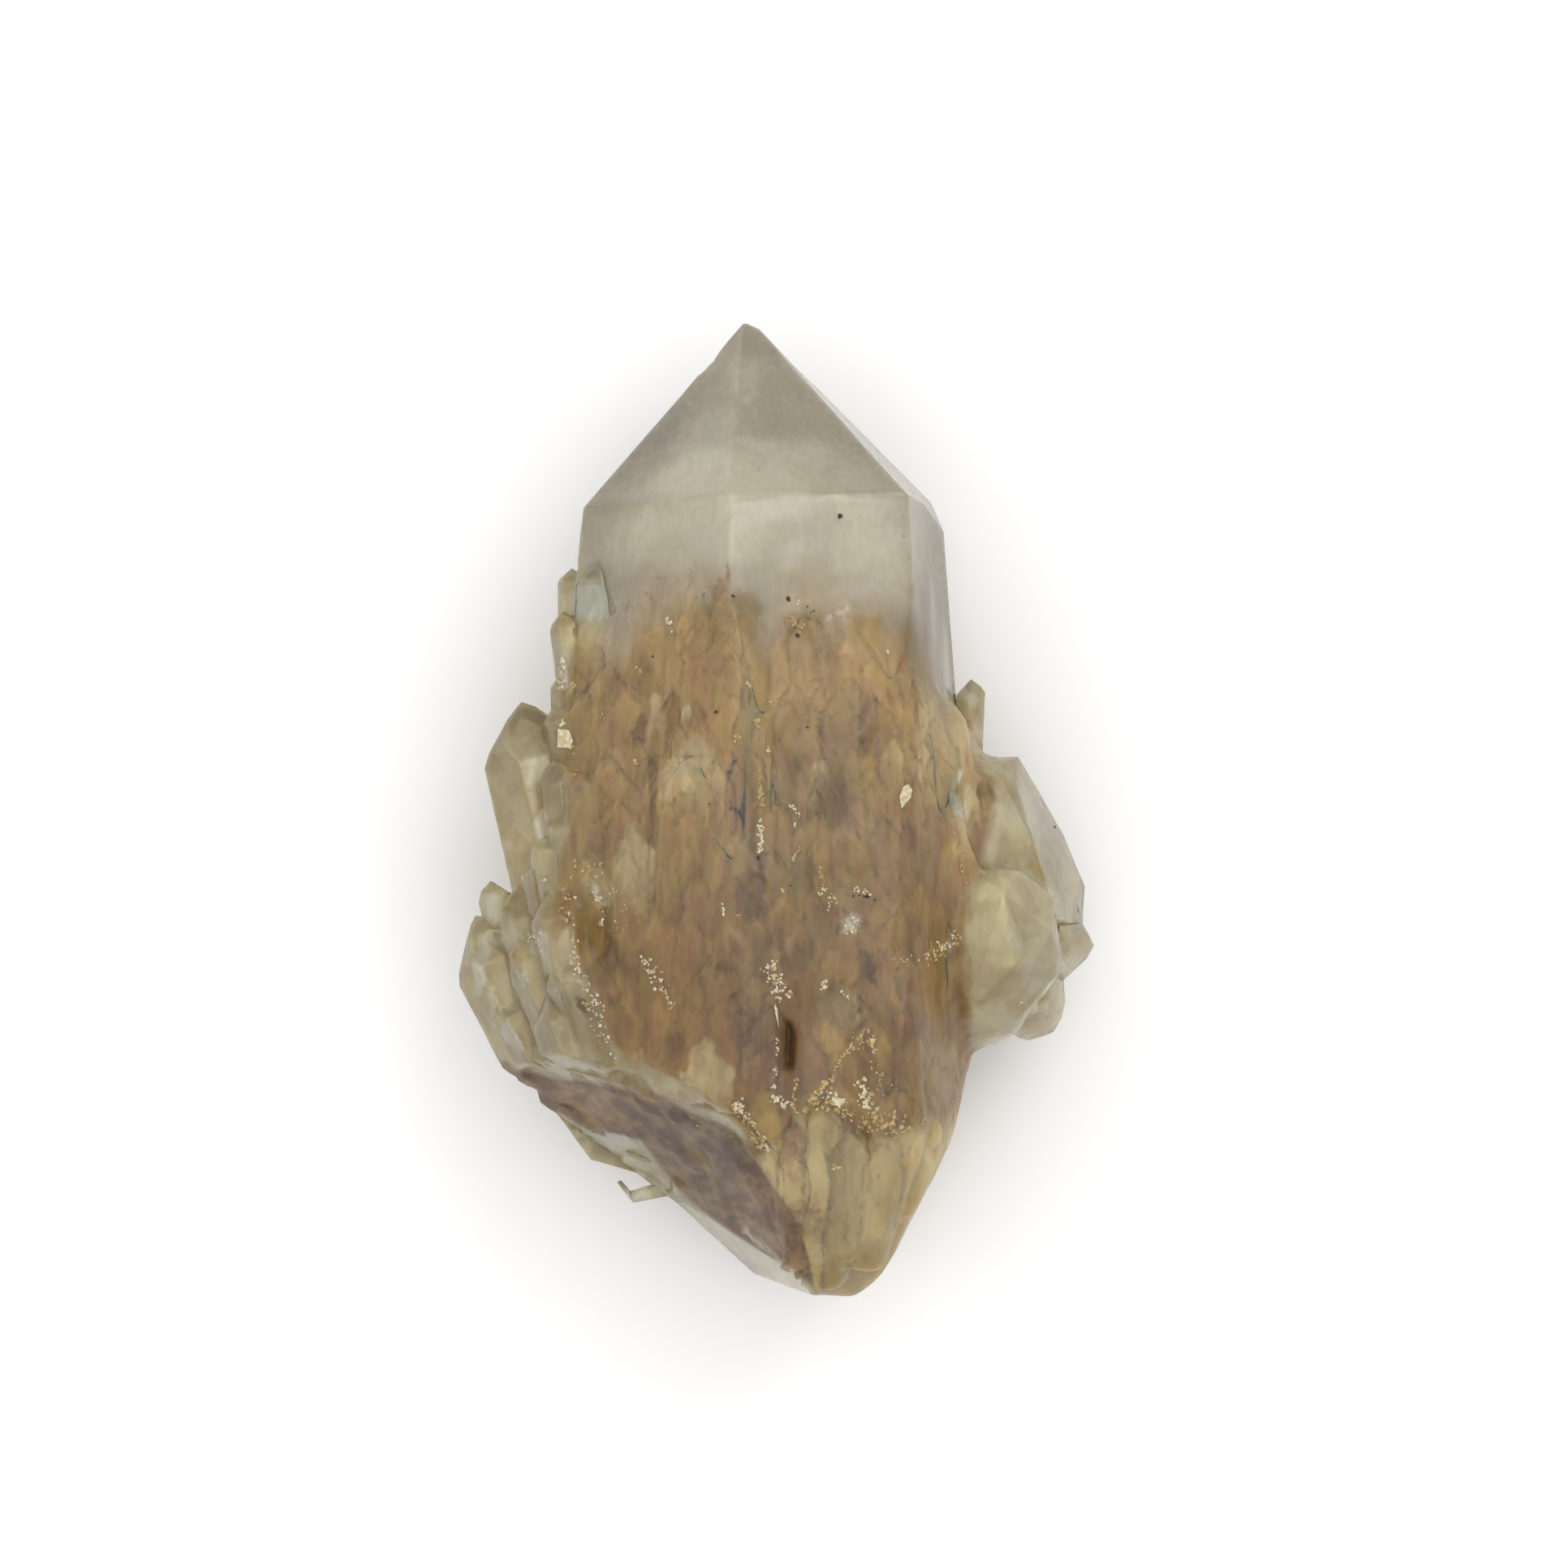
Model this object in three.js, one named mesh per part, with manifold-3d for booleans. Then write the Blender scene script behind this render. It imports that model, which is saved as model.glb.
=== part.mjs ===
// Quartz crystal cluster: one large crystal with a crust of small parallel crystals round its lower half,
// smaller crystals grown on at both sides, and a broken base. It lies on the flat face at its back.
// Millimetres. +X is the viewer's right, +Y runs from the broken base to the tip, +Z points up at the viewer.
// The origin is the middle of the cluster, on the face that it rests on.
import * as THREE from "three";
import { ConvexGeometry } from "three/addons/geometries/ConvexGeometry.js";
import { mergeVertices } from "three/addons/utils/BufferGeometryUtils.js";
import Module from "manifold-3d";

const wasm = await Module();
wasm.setup();

// Driving dimensions
const TIP_FACE_ANGLE = 38.2; // between a quartz tip face and the crystal's axis, in degrees
const CLUSTER_REACH = 200; // larger than the cluster, for the solid that cuts the resting face
const AXIS_HEIGHT = 19; // of the large crystal's axis over the resting face
const CRUST_TOP = 28; // y where the crust on the front begins, and where it has its full thickness
const CRUST_FULL = -4;
const CRUST_THICKNESS = 3;
const CRUST_TAPER = 1.5; // degrees by which a crust crystal widens towards its root
const BROAD_HALF_DEPTH = 0.18; // of a broad crust crystal as a share of its width
const LEAST_HALF_DEPTH = 0.45; // of the other crust crystals, which are thin and stand up with their tips
const RISE_SHARE = 0.65; // of the crust crystals' listed rise, as the crust is low and even
const ROOT_DEPTH = 0.7; // by which a crust crystal's root lies under the crust
const CRYSTAL_NOD = -3.5; // degrees by which the side crystals' tips lean away from the viewer
const CLUSTER_COLOUR = 0xa8957a;

// Corners of the large crystal. The tip ends in a short ridge; the shoulder is where tip meets prism.
const TIP_RIDGE_LEFT = point(-3.95, 59.9, 18);
const TIP_RIDGE_RIGHT = point(-2.15, 59.1, 18);
const SHOULDER_LEFT = point(-23.75, 36.9, 24.5);
const SHOULDER_FRONT = point(-6.05, 38.2, 38.5);
const SHOULDER_FRONT_RIGHT = point(16.15, 38.4, 31.5);
const SHOULDER_RIGHT = point(19.05, 37.8, 13.5);
const SHOULDER_BACK = point(2.65, 37.4, 2.5);
const SHOULDER_BACK_LEFT = point(-19.95, 36.4, 7.5);
const RIGHT_EDGE_TOP = point(20.65, 34.1, 13.5);
const RIGHT_EDGE_LOW = point(22.35, 15.1, 13);
const FRONT_EDGE_LOW = point(-6.35, -30.4, 46.5);
const LEFT_EDGE_LOW = [-30.5, -30.4];
const FRONT_RIGHT_EDGE_LOW = [19.15, -30.4];
const BACK_EDGE_LOW = point(3.85, -30.4, -4.5);
const INSIDE_MAIN = point(-1, 0, AXIS_HEIGHT);

function point(x, y, z) {
  return new THREE.Vector3(x, y, z);
}

function radians(degrees) {
  return THREE.MathUtils.degToRad(degrees);
}

// Numbers from 0 to 1 that are the same at every build.
function randomSource(seed) {
  let state = seed;
  return () => {
    state = (state + 0x6d2b79f5) | 0;
    let t = Math.imul(state ^ (state >>> 15), 1 | state);
    t = (t + Math.imul(t ^ (t >>> 7), 61 | t)) ^ t;
    return ((t ^ (t >>> 14)) >>> 0) / 4294967296;
  };
}

// A plane through three points, with its normal away from the point that is inside.
function faceThrough(a, b, c, inside = INSIDE_MAIN) {
  const face = new THREE.Plane().setFromCoplanarPoints(a, b, c);
  return face.distanceToPoint(inside) > 0 ? face.negate() : face;
}

// A plane through one point, facing the way of the normal that is given.
function faceAt(through, nx, ny, nz) {
  return new THREE.Plane().setFromNormalAndCoplanarPoint(point(nx, ny, nz).normalize(), through);
}

// The point of a face that is seen at x, y.
function onFace(face, x, y) {
  const { normal, constant } = face;
  return point(x, y, -(constant + normal.x * x + normal.y * y) / normal.z);
}

// The corners of the convex body that lies behind all the faces.
function cornersOf(faces) {
  const TOLERANCE = 1e-5;
  const corners = [];
  const cross = new THREE.Vector3();
  for (let i = 0; i < faces.length; i++) {
    for (let j = i + 1; j < faces.length; j++) {
      cross.crossVectors(faces[i].normal, faces[j].normal);
      for (let k = j + 1; k < faces.length; k++) {
        const volume = cross.dot(faces[k].normal);
        if (Math.abs(volume) < TOLERANCE) continue;
        const acrossI = point(0, 0, 0).crossVectors(faces[j].normal, faces[k].normal);
        const acrossJ = point(0, 0, 0).crossVectors(faces[k].normal, faces[i].normal);
        const corner = cross.clone().multiplyScalar(-faces[k].constant);
        corner.addScaledVector(acrossI, -faces[i].constant);
        corner.addScaledVector(acrossJ, -faces[j].constant);
        corner.divideScalar(volume);
        const behindAll = faces.every((face) => face.distanceToPoint(corner) < TOLERANCE);
        const known = corners.some((other) => other.distanceTo(corner) < 1e-3);
        if (behindAll && !known) corners.push(corner);
      }
    }
  }
  return corners;
}

function solidOf(geometry) {
  const bare = geometry.clone();
  bare.deleteAttribute("normal");
  bare.deleteAttribute("uv");
  const merged = mergeVertices(bare, 1e-4);
  const mesh = new wasm.Mesh({
    numProp: 3,
    vertProperties: new Float32Array(merged.attributes.position.array),
    triVerts: new Uint32Array(merged.index.array),
  });
  return new wasm.Manifold(mesh);
}

function chunk(corners) {
  return solidOf(new ConvexGeometry(corners.map(([x, y, z]) => point(x, y, z))));
}

// One quartz crystal: six prism faces round its axis, and a tip of three large and three small faces.
// Its front faces the bearing, where 0 is the viewer's side and 90 the right. nod tips it to its front and
// lean to the right, and turn spins it on its axis before it is flattened, all in degrees.
function crystal(shape) {
  const { tip, width, length, lean = 0, nod = CRYSTAL_NOD, bearing = 0, turn = 0 } = shape;
  const { flatness = 1, taper = 1, seed = 1 } = shape;
  const random = randomSource(seed);
  const apothem = 0.46 * width;
  const steep = radians(TIP_FACE_ANGLE);
  const faces = [faceAt(point(0, -length, 0), 0, -1, 0)];
  for (let side = 0; side < 6; side++) {
    const azimuth = radians(turn + 60 * side);
    const across = point(Math.sin(azimuth), 0, Math.cos(azimuth));
    const distance = apothem * (0.9 + 0.2 * random());
    const widening = radians(taper);
    const prismNormal = across.clone().multiplyScalar(Math.cos(widening)).setY(Math.sin(widening));
    const shoulder = across.clone().multiplyScalar(distance).setY(-distance / Math.tan(steep));
    faces.push(new THREE.Plane().setFromNormalAndCoplanarPoint(prismNormal, shoulder));
    const tipNormal = across.clone().multiplyScalar(Math.cos(steep)).setY(Math.sin(steep));
    const setBack = side % 2 ? (0.1 + 0.35 * random()) * apothem : 0.04 * random() * apothem;
    faces.push(new THREE.Plane(tipNormal, -setBack));
  }
  const geometry = new ConvexGeometry(cornersOf(faces));
  geometry.scale(1, 1, flatness);
  geometry.rotateX(radians(nod));
  geometry.rotateY(radians(bearing));
  geometry.rotateZ(-radians(lean));
  geometry.translate(...tip);
  return solidOf(geometry);
}

// An irregular broken lump that stands up a little from the face that it lies on.
function lump([x, y, length, width, thickness, heading], face, seed) {
  const CORNERS = 12;
  const SUNK_SHARE = 0.2;
  const random = randomSource(seed);
  const corners = Array.from({ length: CORNERS }, () => {
    const polar = Math.acos(2 * random() - 1);
    return new THREE.Vector3().setFromSphericalCoords(0.85 + 0.15 * random(), polar, 2 * Math.PI * random());
  });
  const geometry = new ConvexGeometry(corners);
  geometry.scale(length / 2, width / 2, thickness / 2);
  geometry.rotateZ(radians(heading));
  geometry.applyQuaternion(new THREE.Quaternion().setFromUnitVectors(point(0, 0, 1), face.normal));
  geometry.translate(...onFace(face, x, y).addScaledVector(face.normal, -SUNK_SHARE * thickness).toArray());
  return solidOf(geometry);
}

// Faces of the large crystal
const frontLeft = faceThrough(SHOULDER_FRONT, FRONT_EDGE_LOW, SHOULDER_LEFT);
const frontRight = faceThrough(SHOULDER_FRONT, FRONT_EDGE_LOW, SHOULDER_FRONT_RIGHT);
const frontRightEdgeLow = onFace(frontRight, ...FRONT_RIGHT_EDGE_LOW);
const leftEdgeLow = onFace(frontLeft, ...LEFT_EDGE_LOW);
const right = faceThrough(SHOULDER_FRONT_RIGHT, frontRightEdgeLow, RIGHT_EDGE_TOP);
const backRight = faceThrough(RIGHT_EDGE_TOP, RIGHT_EDGE_LOW, SHOULDER_BACK);
const back = faceThrough(SHOULDER_BACK, SHOULDER_BACK_LEFT, BACK_EDGE_LOW);
const left = faceThrough(SHOULDER_LEFT, leftEdgeLow, SHOULDER_BACK_LEFT);
const prismFaces = [frontLeft, frontRight, right, backRight, back, left];

const tipFrontLeft = faceThrough(TIP_RIDGE_LEFT, SHOULDER_LEFT, SHOULDER_FRONT);
const tipFrontRight = faceThrough(TIP_RIDGE_RIGHT, SHOULDER_FRONT, SHOULDER_FRONT_RIGHT);
const tipRight = faceThrough(TIP_RIDGE_RIGHT, SHOULDER_FRONT_RIGHT, SHOULDER_RIGHT);
const tipBackRight = faceThrough(TIP_RIDGE_RIGHT, SHOULDER_RIGHT, SHOULDER_BACK);
const tipBack = faceThrough(TIP_RIDGE_LEFT, SHOULDER_BACK, SHOULDER_BACK_LEFT);
const tipLeft = faceThrough(TIP_RIDGE_LEFT, SHOULDER_BACK_LEFT, SHOULDER_LEFT);
const tipRidge = faceAt(TIP_RIDGE_LEFT, 0.41, 0.91, 0);
const tipFaces = [tipFrontLeft, tipFrontRight, tipRight, tipBackRight, tipBack, tipLeft, tipRidge];

// Narrow steep faces that cut the shoulder: a wedge at the left, a band at the right, and the right corner.
const leftWedge = faceThrough(
  onFace(tipFrontLeft, -23.3, 37.2),
  onFace(frontLeft, -23.3, 36.0),
  SHOULDER_LEFT.clone().lerp(SHOULDER_FRONT, 0.7),
);
const rightBand = faceThrough(
  onFace(tipFrontRight, 16.1, 38.75),
  onFace(frontRight, 16.1, 37.1),
  SHOULDER_FRONT.clone().lerp(SHOULDER_FRONT_RIGHT, 0.35),
);
const rightCorner = faceAt(SHOULDER_RIGHT, 0.918, 0.397, 0.1);
const shoulderFaces = [leftWedge, rightBand, rightCorner];

// The break across the lower end, and the facets that narrow the right side towards it
const FRACTURE_LEFT = point(-31.65, -32.3, 22);
const FRACTURE_FRONT = onFace(frontRight, -5.15, -38.2);
const FRACTURE_LOW = point(-14.05, -47.4, 14);
const fracture = faceThrough(FRACTURE_LEFT, FRACTURE_FRONT, FRACTURE_LOW);
const baseFaces = [
  fracture,
  faceThrough(point(-31.65, -32.6, 16), FRACTURE_LOW, point(-20, -33, 0)),
  faceAt(point(22.55, -38, 20), 0.89, -0.44, 0),
  faceAt(point(23.9, -29.4, 20), 0.98, -0.2, 0),
  faceAt(point(0, -50, 20), 0, -1, 0),
];
const leftBreak = faceAt(FRACTURE_LEFT, -0.33, -0.9, 0.25);

const mainFaces = [...prismFaces, ...tipFaces, ...shoulderFaces, ...baseFaces];

// Height of the large crystal's front over the resting face at x, y.
function frontHeight(x, y) {
  return Math.min(...[frontLeft, frontRight, right].map((face) => onFace(face, x, y).z));
}

// Distance from the large crystal's axis to its side, in the direction of an azimuth from the viewer.
function sideDistance(azimuth, y) {
  const start = point(-1, y, AXIS_HEIGHT);
  const direction = point(Math.sin(radians(azimuth)), 0, Math.cos(radians(azimuth)));
  const reaches = mainFaces
    .filter((face) => face.normal.dot(direction) > 0.05)
    .map((face) => -face.distanceToPoint(start) / face.normal.dot(direction));
  return Math.min(...reaches);
}

// Broad crystals that carry the crust on the front: x and y of the tip, width, length, rise, lean.
const BROAD_CRUST = [
  [-15.5, 28.6, 13, 45, 0.3, -2],
  [-18.5, 17.5, 15, 42, 0.5, -4],
  [-9.5, 24.0, 9, 40, 0.4, -6],
  [7.0, 25.0, 13, 42, 0.4, 0],
  [15.0, 15.5, 12, 40, 0.4, 1],
  [3.0, 13.0, 13, 42, 0.3, 0],
  [-11.0, 8.0, 13, 40, 0.4, -1],
  [11.5, 3.0, 14, 34, 0.5, 1],
  [-1.0, -3.0, 13, 34, 0.4, 0],
  [-18.0, -2.0, 14, 28, 0.4, -5],
  [-9.0, -14.0, 15, 22, 0.5, -4],
  [7.0, -12.0, 14, 26, 0.4, 2],
];

// Crust crystals on the front: x and y of the tip, width, length, rise over the crust round it, lean.
const FRONT_CRUST = [
  // upper edge of the left wing
  [-22.4, 30.3, 5.4, 20, 0.7, -5],
  [-14.1, 28.5, 4.2, 16, 0.8, 0],
  [-12.3, 29.4, 3.6, 15, 0.6, 2],
  [-10.2, 29.8, 3.4, 16, 0.8, 0],
  [-8.2, 27.2, 3.0, 12, 1.0, -2],
  [-6.2, 28.0, 3.2, 15, 0.9, -3],
  [-18.2, 24.7, 7.0, 18, 0.6, -3],
  [-20.0, 19.9, 6.6, 24, 0.8, -4],
  [-20.3, 18.1, 8.6, 15, 2.0, -3],
  [-6.0, 23.1, 6.8, 24, 0.7, -8],
  [-8.2, 19.6, 7.0, 15, 1.0, -3],
  [-4.0, 17.4, 3.6, 16, 0.7, -3],
  [-4.2, 6.8, 5.0, 17, 1.0, -2],
  [-1.0, 12.6, 4.4, 20, 0.8, 0],
  [-14.4, 14.6, 3.2, 9, 1.4, 12],
  [-9.9, 13.2, 4.4, 9, 1.2, 0],
  [-12.7, 12.4, 3.4, 10, 1.0, 0],
  [-23.8, 14.6, 5.6, 16, 0.8, -5],
  [-20.9, 12.8, 4.2, 11, 1.1, -3],
  // left middle
  [-20.8, 7.1, 7.4, 15, 1.9, 0],
  [-18.6, 1.9, 5.6, 12, 1.6, -3],
  [-18.0, -0.9, 4.6, 12, 1.3, 3],
  [-17.6, -6.0, 7.0, 15, 1.4, 4],
  [-22.9, -4.2, 4.0, 8, 1.0, 0],
  [-22.1, -7.2, 5.4, 10, 1.3, 3],
  [-10.4, 7.1, 10.4, 22, 1.0, 0],
  [-12.6, -0.9, 5.6, 13, 1.2, -2],
  [-10.2, -7.4, 5.4, 12, 1.5, 5],
  [-7.0, -1.4, 7.0, 18, 1.1, 0],
  [-4.2, -6.4, 4.8, 12, 1.3, 3],
  [-8.6, -18.4, 7.0, 10, 1.4, 0],
  [-5.2, -13.4, 5.0, 20, 1.1, -3],
  [-15.7, -13.4, 8.0, 18, 1.3, -6],
  [-21.1, -16.4, 7.4, 16, 1.0, -10],
  [-10.7, -21.9, 7.6, 14, 1.4, -8],
  [-16.7, -23.0, 6.2, 10, 1.4, -10],
  [-8.4, -27.4, 7.0, 11, 1.5, -8],
  [-3.2, -19.9, 5.6, 22, 1.6, -6],
  // right wing
  [2.8, 25.8, 6.6, 20, 0.6, -2],
  [8.6, 24.8, 5.4, 20, 0.9, 0],
  [12.2, 21.3, 4.6, 15, 1.0, 0],
  [15.2, 19.6, 4.4, 15, 0.8, -10],
  [18.2, 15.4, 2.6, 7, 0.9, 0],
  [17.7, 8.7, 4.0, 8, 1.3, 0],
  [12.4, 17.2, 4.4, 11, 1.2, 0],
  [8.4, 16.6, 5.0, 11, 1.0, 0],
  [1.2, 20.6, 4.8, 16, 0.7, -3],
  [11.8, 9.1, 6.4, 13, 1.2, 0],
  [15.9, 12.6, 4.4, 15, 0.9, 0],
  [17.1, 2.1, 7.0, 17, 1.3, 0],
  [12.3, -0.4, 6.2, 13, 1.4, 0],
  [5.3, 6.6, 4.6, 14, 1.2, 0],
  [1.4, 5.6, 5.2, 15, 1.0, 0],
  // centre
  [10.5, -1.4, 4.6, 10, 1.1, 0],
  [2.8, -10.2, 8.0, 13, 1.3, 0],
  [12.8, -9.9, 4.6, 14, 1.4, 9],
  [16.3, -9.4, 6.0, 11, 1.1, 4],
  [20.8, -7.4, 4.6, 12, 1.2, 6],
  [4.3, -15.4, 9.0, 13, 1.4, 0],
  [5.3, -21.6, 7.4, 14, 1.5, 0],
  [17.9, -16.9, 10.4, 24, 2.0, 2],
];

// Small crystals at the lower end, and the columns below them
const BASE_CRYSTALS = [
  { tip: [1.8, -38.0, 46.4], width: 3.8, length: 13, lean: -2, nod: 7, seed: 51 },
  { tip: [6.2, -35.1, 48.2], width: 4.6, length: 16, nod: 11, seed: 52 },
  { tip: [9.2, -38.2, 47.2], width: 5.2, length: 17, lean: 3, nod: 11, seed: 53 },
  { tip: [14.0, -39.7, 43.8], width: 7.0, length: 17, lean: 13, nod: 8, bearing: 10, seed: 54 },
  { tip: [15.9, -38.9, 44.6], width: 2.4, length: 8, lean: 16, nod: 5, seed: 55 },
  { tip: [18.0, -38.4, 43], width: 2.6, length: 9, lean: 22, nod: 4, seed: 56 },
  { tip: [20.4, -37.3, 40.5], width: 2.8, length: 9, lean: 26, nod: 4, seed: 57 },
  { tip: [3.8, -41.6, 45.8], width: 3.6, length: 15, lean: 4, nod: 11, seed: 58 },
  { tip: [6.6, -45.0, 44], width: 5.4, length: 14, lean: 2, nod: 16, seed: 59 },
  { tip: [0.2, -46.6, 42.5], width: 4.0, length: 11, lean: -14, nod: 12, bearing: -40, seed: 60 },
];

// Crystals at the sides, with the height of their tips over the resting face.
const SIDE_CRYSTALS = [
  // the large crystal grown on at the left
  { tip: [-31.3, 12.9, 22], width: 11.8, length: 28, lean: -13.9, nod: -4, turn: 12, seed: 4 },
  // crust down the left side
  { tip: [-25.2, 29.6, 22], width: 3.4, length: 12, lean: -2, seed: 21 },
  { tip: [-26.2, 24.2, 25], width: 3.6, length: 11, lean: -8, seed: 22 },
  { tip: [-26.6, 16.1, 26], width: 2.2, length: 8, lean: -4, seed: 23 },
  { tip: [-27.0, 12.6, 27], width: 4.2, length: 13, lean: -10, seed: 24 },
  { tip: [-26.8, 6.2, 30.5], width: 5.2, length: 12, lean: -4, nod: 5, bearing: -30, seed: 25 },
  { tip: [-25.9, 0.4, 31.5], width: 5.2, length: 13, lean: -4, nod: 6, bearing: -30, seed: 26 },
  { tip: [-24.4, 5.2, 32.6], width: 4.2, length: 17, lean: -5, nod: 2, bearing: -30, seed: 27 },
  { tip: [-28.4, -3.5, 31], width: 3.6, length: 9, lean: -8, seed: 28 },
  { tip: [-29.4, -6.1, 30], width: 3.6, length: 7, lean: -8, seed: 29 },
  // the clear crystal that points out of the fracture at the lower left
  { tip: [-26.9, -37.7, 12], width: 8.8, length: 16, lean: -75, nod: 0, turn: 30, seed: 39 },
  // crust at the right, and the clear tip behind it
  { tip: [24.05, 15.9, 14], width: 3.9, length: 13, lean: 4, nod: 0, turn: 30, seed: 41 },
  { tip: [20.4, 15.6, 28], width: 6.2, length: 14, lean: -4, seed: 42 },
  { tip: [22.1, 3.0, 32], width: 4.4, length: 13, lean: 2, seed: 43 },
  { tip: [24.4, 5.4, 26], width: 4.4, length: 13, lean: 3, seed: 44 },
  { tip: [22.6, -1.4, 31], width: 4.6, length: 12, lean: 3, seed: 45 },
];

// The pale group at the lower left
const LEFT_GROUP = [
  { tip: [-35.2, -9.0, 20], width: 3.8, length: 10, lean: -14, seed: 31 },
  { tip: [-36.9, -13.4, 20], width: 11, length: 25, lean: -28.7, seed: 32 },
  { tip: [-31.6, -9.4, 26], width: 8, length: 23, lean: -20, seed: 33 },
  { tip: [-27.6, -10.0, 33], width: 6.4, length: 21, lean: -15, seed: 34 },
  { tip: [-31.0, -15.2, 29], width: 7, length: 18, lean: -24, seed: 35 },
  { tip: [-26.0, -16.8, 34], width: 7, length: 16, lean: -20, seed: 36 },
  { tip: [-33.4, -22.4, 24], width: 6, length: 11, lean: -30, seed: 37 },
  { tip: [-27.4, -21.6, 33], width: 8, length: 13, lean: -22, seed: 38 },
];

// Bodies of the pale group at the right, by their corners.
const RIGHT_BACK = [
  [24.85, 6.4, 23.5], [29.75, 6.3, 19.5], [31.95, 2.8, 16.5], [35.45, -3.3, 13.5], [38.05, -9.7, 13.5],
  [37.75, -14.4, 15.5], [31.55, -4.2, 27.5], [29.55, 2.8, 25.5], [26.85, 5.1, 26.5], [34.35, -13.4, 27.5],
  [25.85, -6.4, 30.5], [25.85, -18.4, 27.5], [19.35, 3.6, 19.5], [19.35, -18.4, 19.5], [24.85, 5.6, 8.5],
  [30.55, 2.1, 6.5], [35.55, -6.4, 4.5], [36.55, -12.4, 5.5], [34.35, -18.4, 7.5], [23.35, -18.4, 5.5],
];
const RIGHT_FRONT = [
  [24.65, -8.0, 32.5], [27.05, -7.3, 32], [29.85, -7.6, 31], [33.95, -10.8, 27.5], [33.65, -15.1, 30.5],
  [35.25, -19.6, 26], [30.95, -24.6, 28.5], [29.35, -28.0, 23], [26.55, -30.1, 21], [24.05, -29.5, 22],
  [23.35, -28.5, 26], [27.85, -10.4, 35], [30.35, -16.4, 34.5], [29.35, -19.2, 35.5], [24.75, -21.5, 37],
  [23.15, -11.4, 35], [22.35, -18.4, 36], [23.85, -25.4, 34], [27.85, -27.4, 28], [22, -9, 14],
  [31, -10, 14], [33, -20, 12], [27, -29, 14], [20, -28, 16], [18, -15, 18],
];
const RIGHT_POINT = [
  [37.75, -14.3, 17], [39.2, -16.9, 15.5], [38.25, -18.5, 15], [35.45, -21.2, 15.5], [36.15, -17.6, 21],
  [34.85, -14.4, 24], [34.35, -19.4, 22.5], [37, -15.5, 9], [37.5, -18, 9], [34.5, -21, 8.5], [33, -15, 8],
];
const RIGHT_FOOT = [
  [34.35, -20.4, 20], [35.45, -21.2, 16], [35.65, -23.9, 15.5], [35.15, -25.9, 15], [34.15, -27.6, 14],
  [33.05, -28.1, 14], [31.15, -28.6, 15], [29.05, -28.0, 17], [30.95, -24.6, 25], [32.85, -23.9, 24],
  [28.3, -25.4, 24], [34, -22, 8], [33, -27, 8], [29, -27, 9],
];
// The mass under the pale group at the lower left.
const LEFT_FOOT = [
  [-31.6, -32.4, 18], [-35.6, -25.6, 16], [-38.6, -18.6, 18], [-35, -15, 24], [-28, -14, 30],
  [-20, -24, 38], [-20, -32, 37], [-30, -31.5, 24], [-34, -24, 24], [-36, -18, 9], [-32, -28, 7],
  [-26, -33, 6], [-20, -18, 8],
];
// The lower end, which narrows to the break that the cluster came off at.
const LOWER_END = [
  [-3.6, -39.4, 45.5], [2.4, -48.4, 45], [2.2, -56.6, 39], [4.4, -59.6, 34], [9.4, -59.9, 34],
  [12.6, -57.7, 36], [14.5, -54.5, 39], [19.5, -43.9, 39], [22.2, -38, 36], [0.8, -58.5, 22],
  [-2.7, -57.4, 17], [-4.8, -55.0, 14], [-8.4, -51.1, 12], [-14, -47.2, 12], [10, -59.2, 14],
  [16.6, -48.4, 12], [21.6, -38.2, 14], [6, -56.4, 6], [-6, -50, 4], [15, -46, 3], [8, -36, 48],
  [-10, -34, 42], [-12, -36, 4], [20, -34, 3],
];
// A thin clear blade bent at its end, by the two straight stretches.
const BLADE_ARM = [
  [-13.0, -47.8, 14], [-13.9, -46.0, 14], [-18.2, -47.4, 13], [-17.6, -48.7, 13], [-13.2, -47.4, 11.5],
  [-13.9, -46.2, 11.5], [-18.0, -47.6, 11.6], [-17.6, -48.5, 11.6],
];
const BLADE_END = [
  [-19.65, -46.2, 12.9], [-19.2, -46.0, 12.9], [-17.4, -48.0, 13], [-17.7, -48.7, 13], [-19.6, -46.3, 11.8],
  [-19.2, -46.1, 11.8], [-17.4, -48.0, 11.6], [-17.7, -48.6, 11.6],
];

// Broken lumps on the fracture at the lower left: x, y, length, width, thickness and heading.
const FRACTURE_LUMPS = [
  [-29.8, -33.4, 9, 7, 3, -10],
  [-26.6, -35.0, 10, 8, 3.5, 20],
  [-23.0, -34.2, 9, 7, 3, -20],
  [-19.4, -35.0, 9, 8, 3, 15],
  [-15.6, -36.2, 9, 7, 3.5, -15],
  [-11.6, -38.2, 9, 8, 3, 0],
  [-24.0, -38.0, 10, 8, 3.5, 10],
  [-19.6, -39.6, 10, 8, 3, -20],
  [-15.0, -41.0, 10, 9, 3.5, 10],
  [-10.4, -43.0, 10, 8, 3.5, -20],
  [-17.4, -43.6, 9, 8, 3, 0],
  [-12.4, -46.6, 9, 8, 3.5, 15],
  [-7.6, -41.6, 8, 7, 3, 10],
];

// The narrow deep hollow between two columns
const HOLLOW = [
  [0.6, -24.2, 54], [1.8, -23.8, 54], [2.8, -26.6, 54], [2.8, -32.2, 54], [0.9, -32.8, 54], [0.1, -28, 54],
  [1.0, -26, 42], [2.0, -26.4, 42], [2.1, -31.4, 42], [1.2, -31.8, 42],
];

// Height of the crust on the front at x, y, between the crystals that stand up from it.
function crustHeight(x, y) {
  const share = THREE.MathUtils.clamp((CRUST_TOP - y) / (CRUST_TOP - CRUST_FULL), 0, 1);
  return frontHeight(x, y) + share * CRUST_THICKNESS;
}

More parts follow.
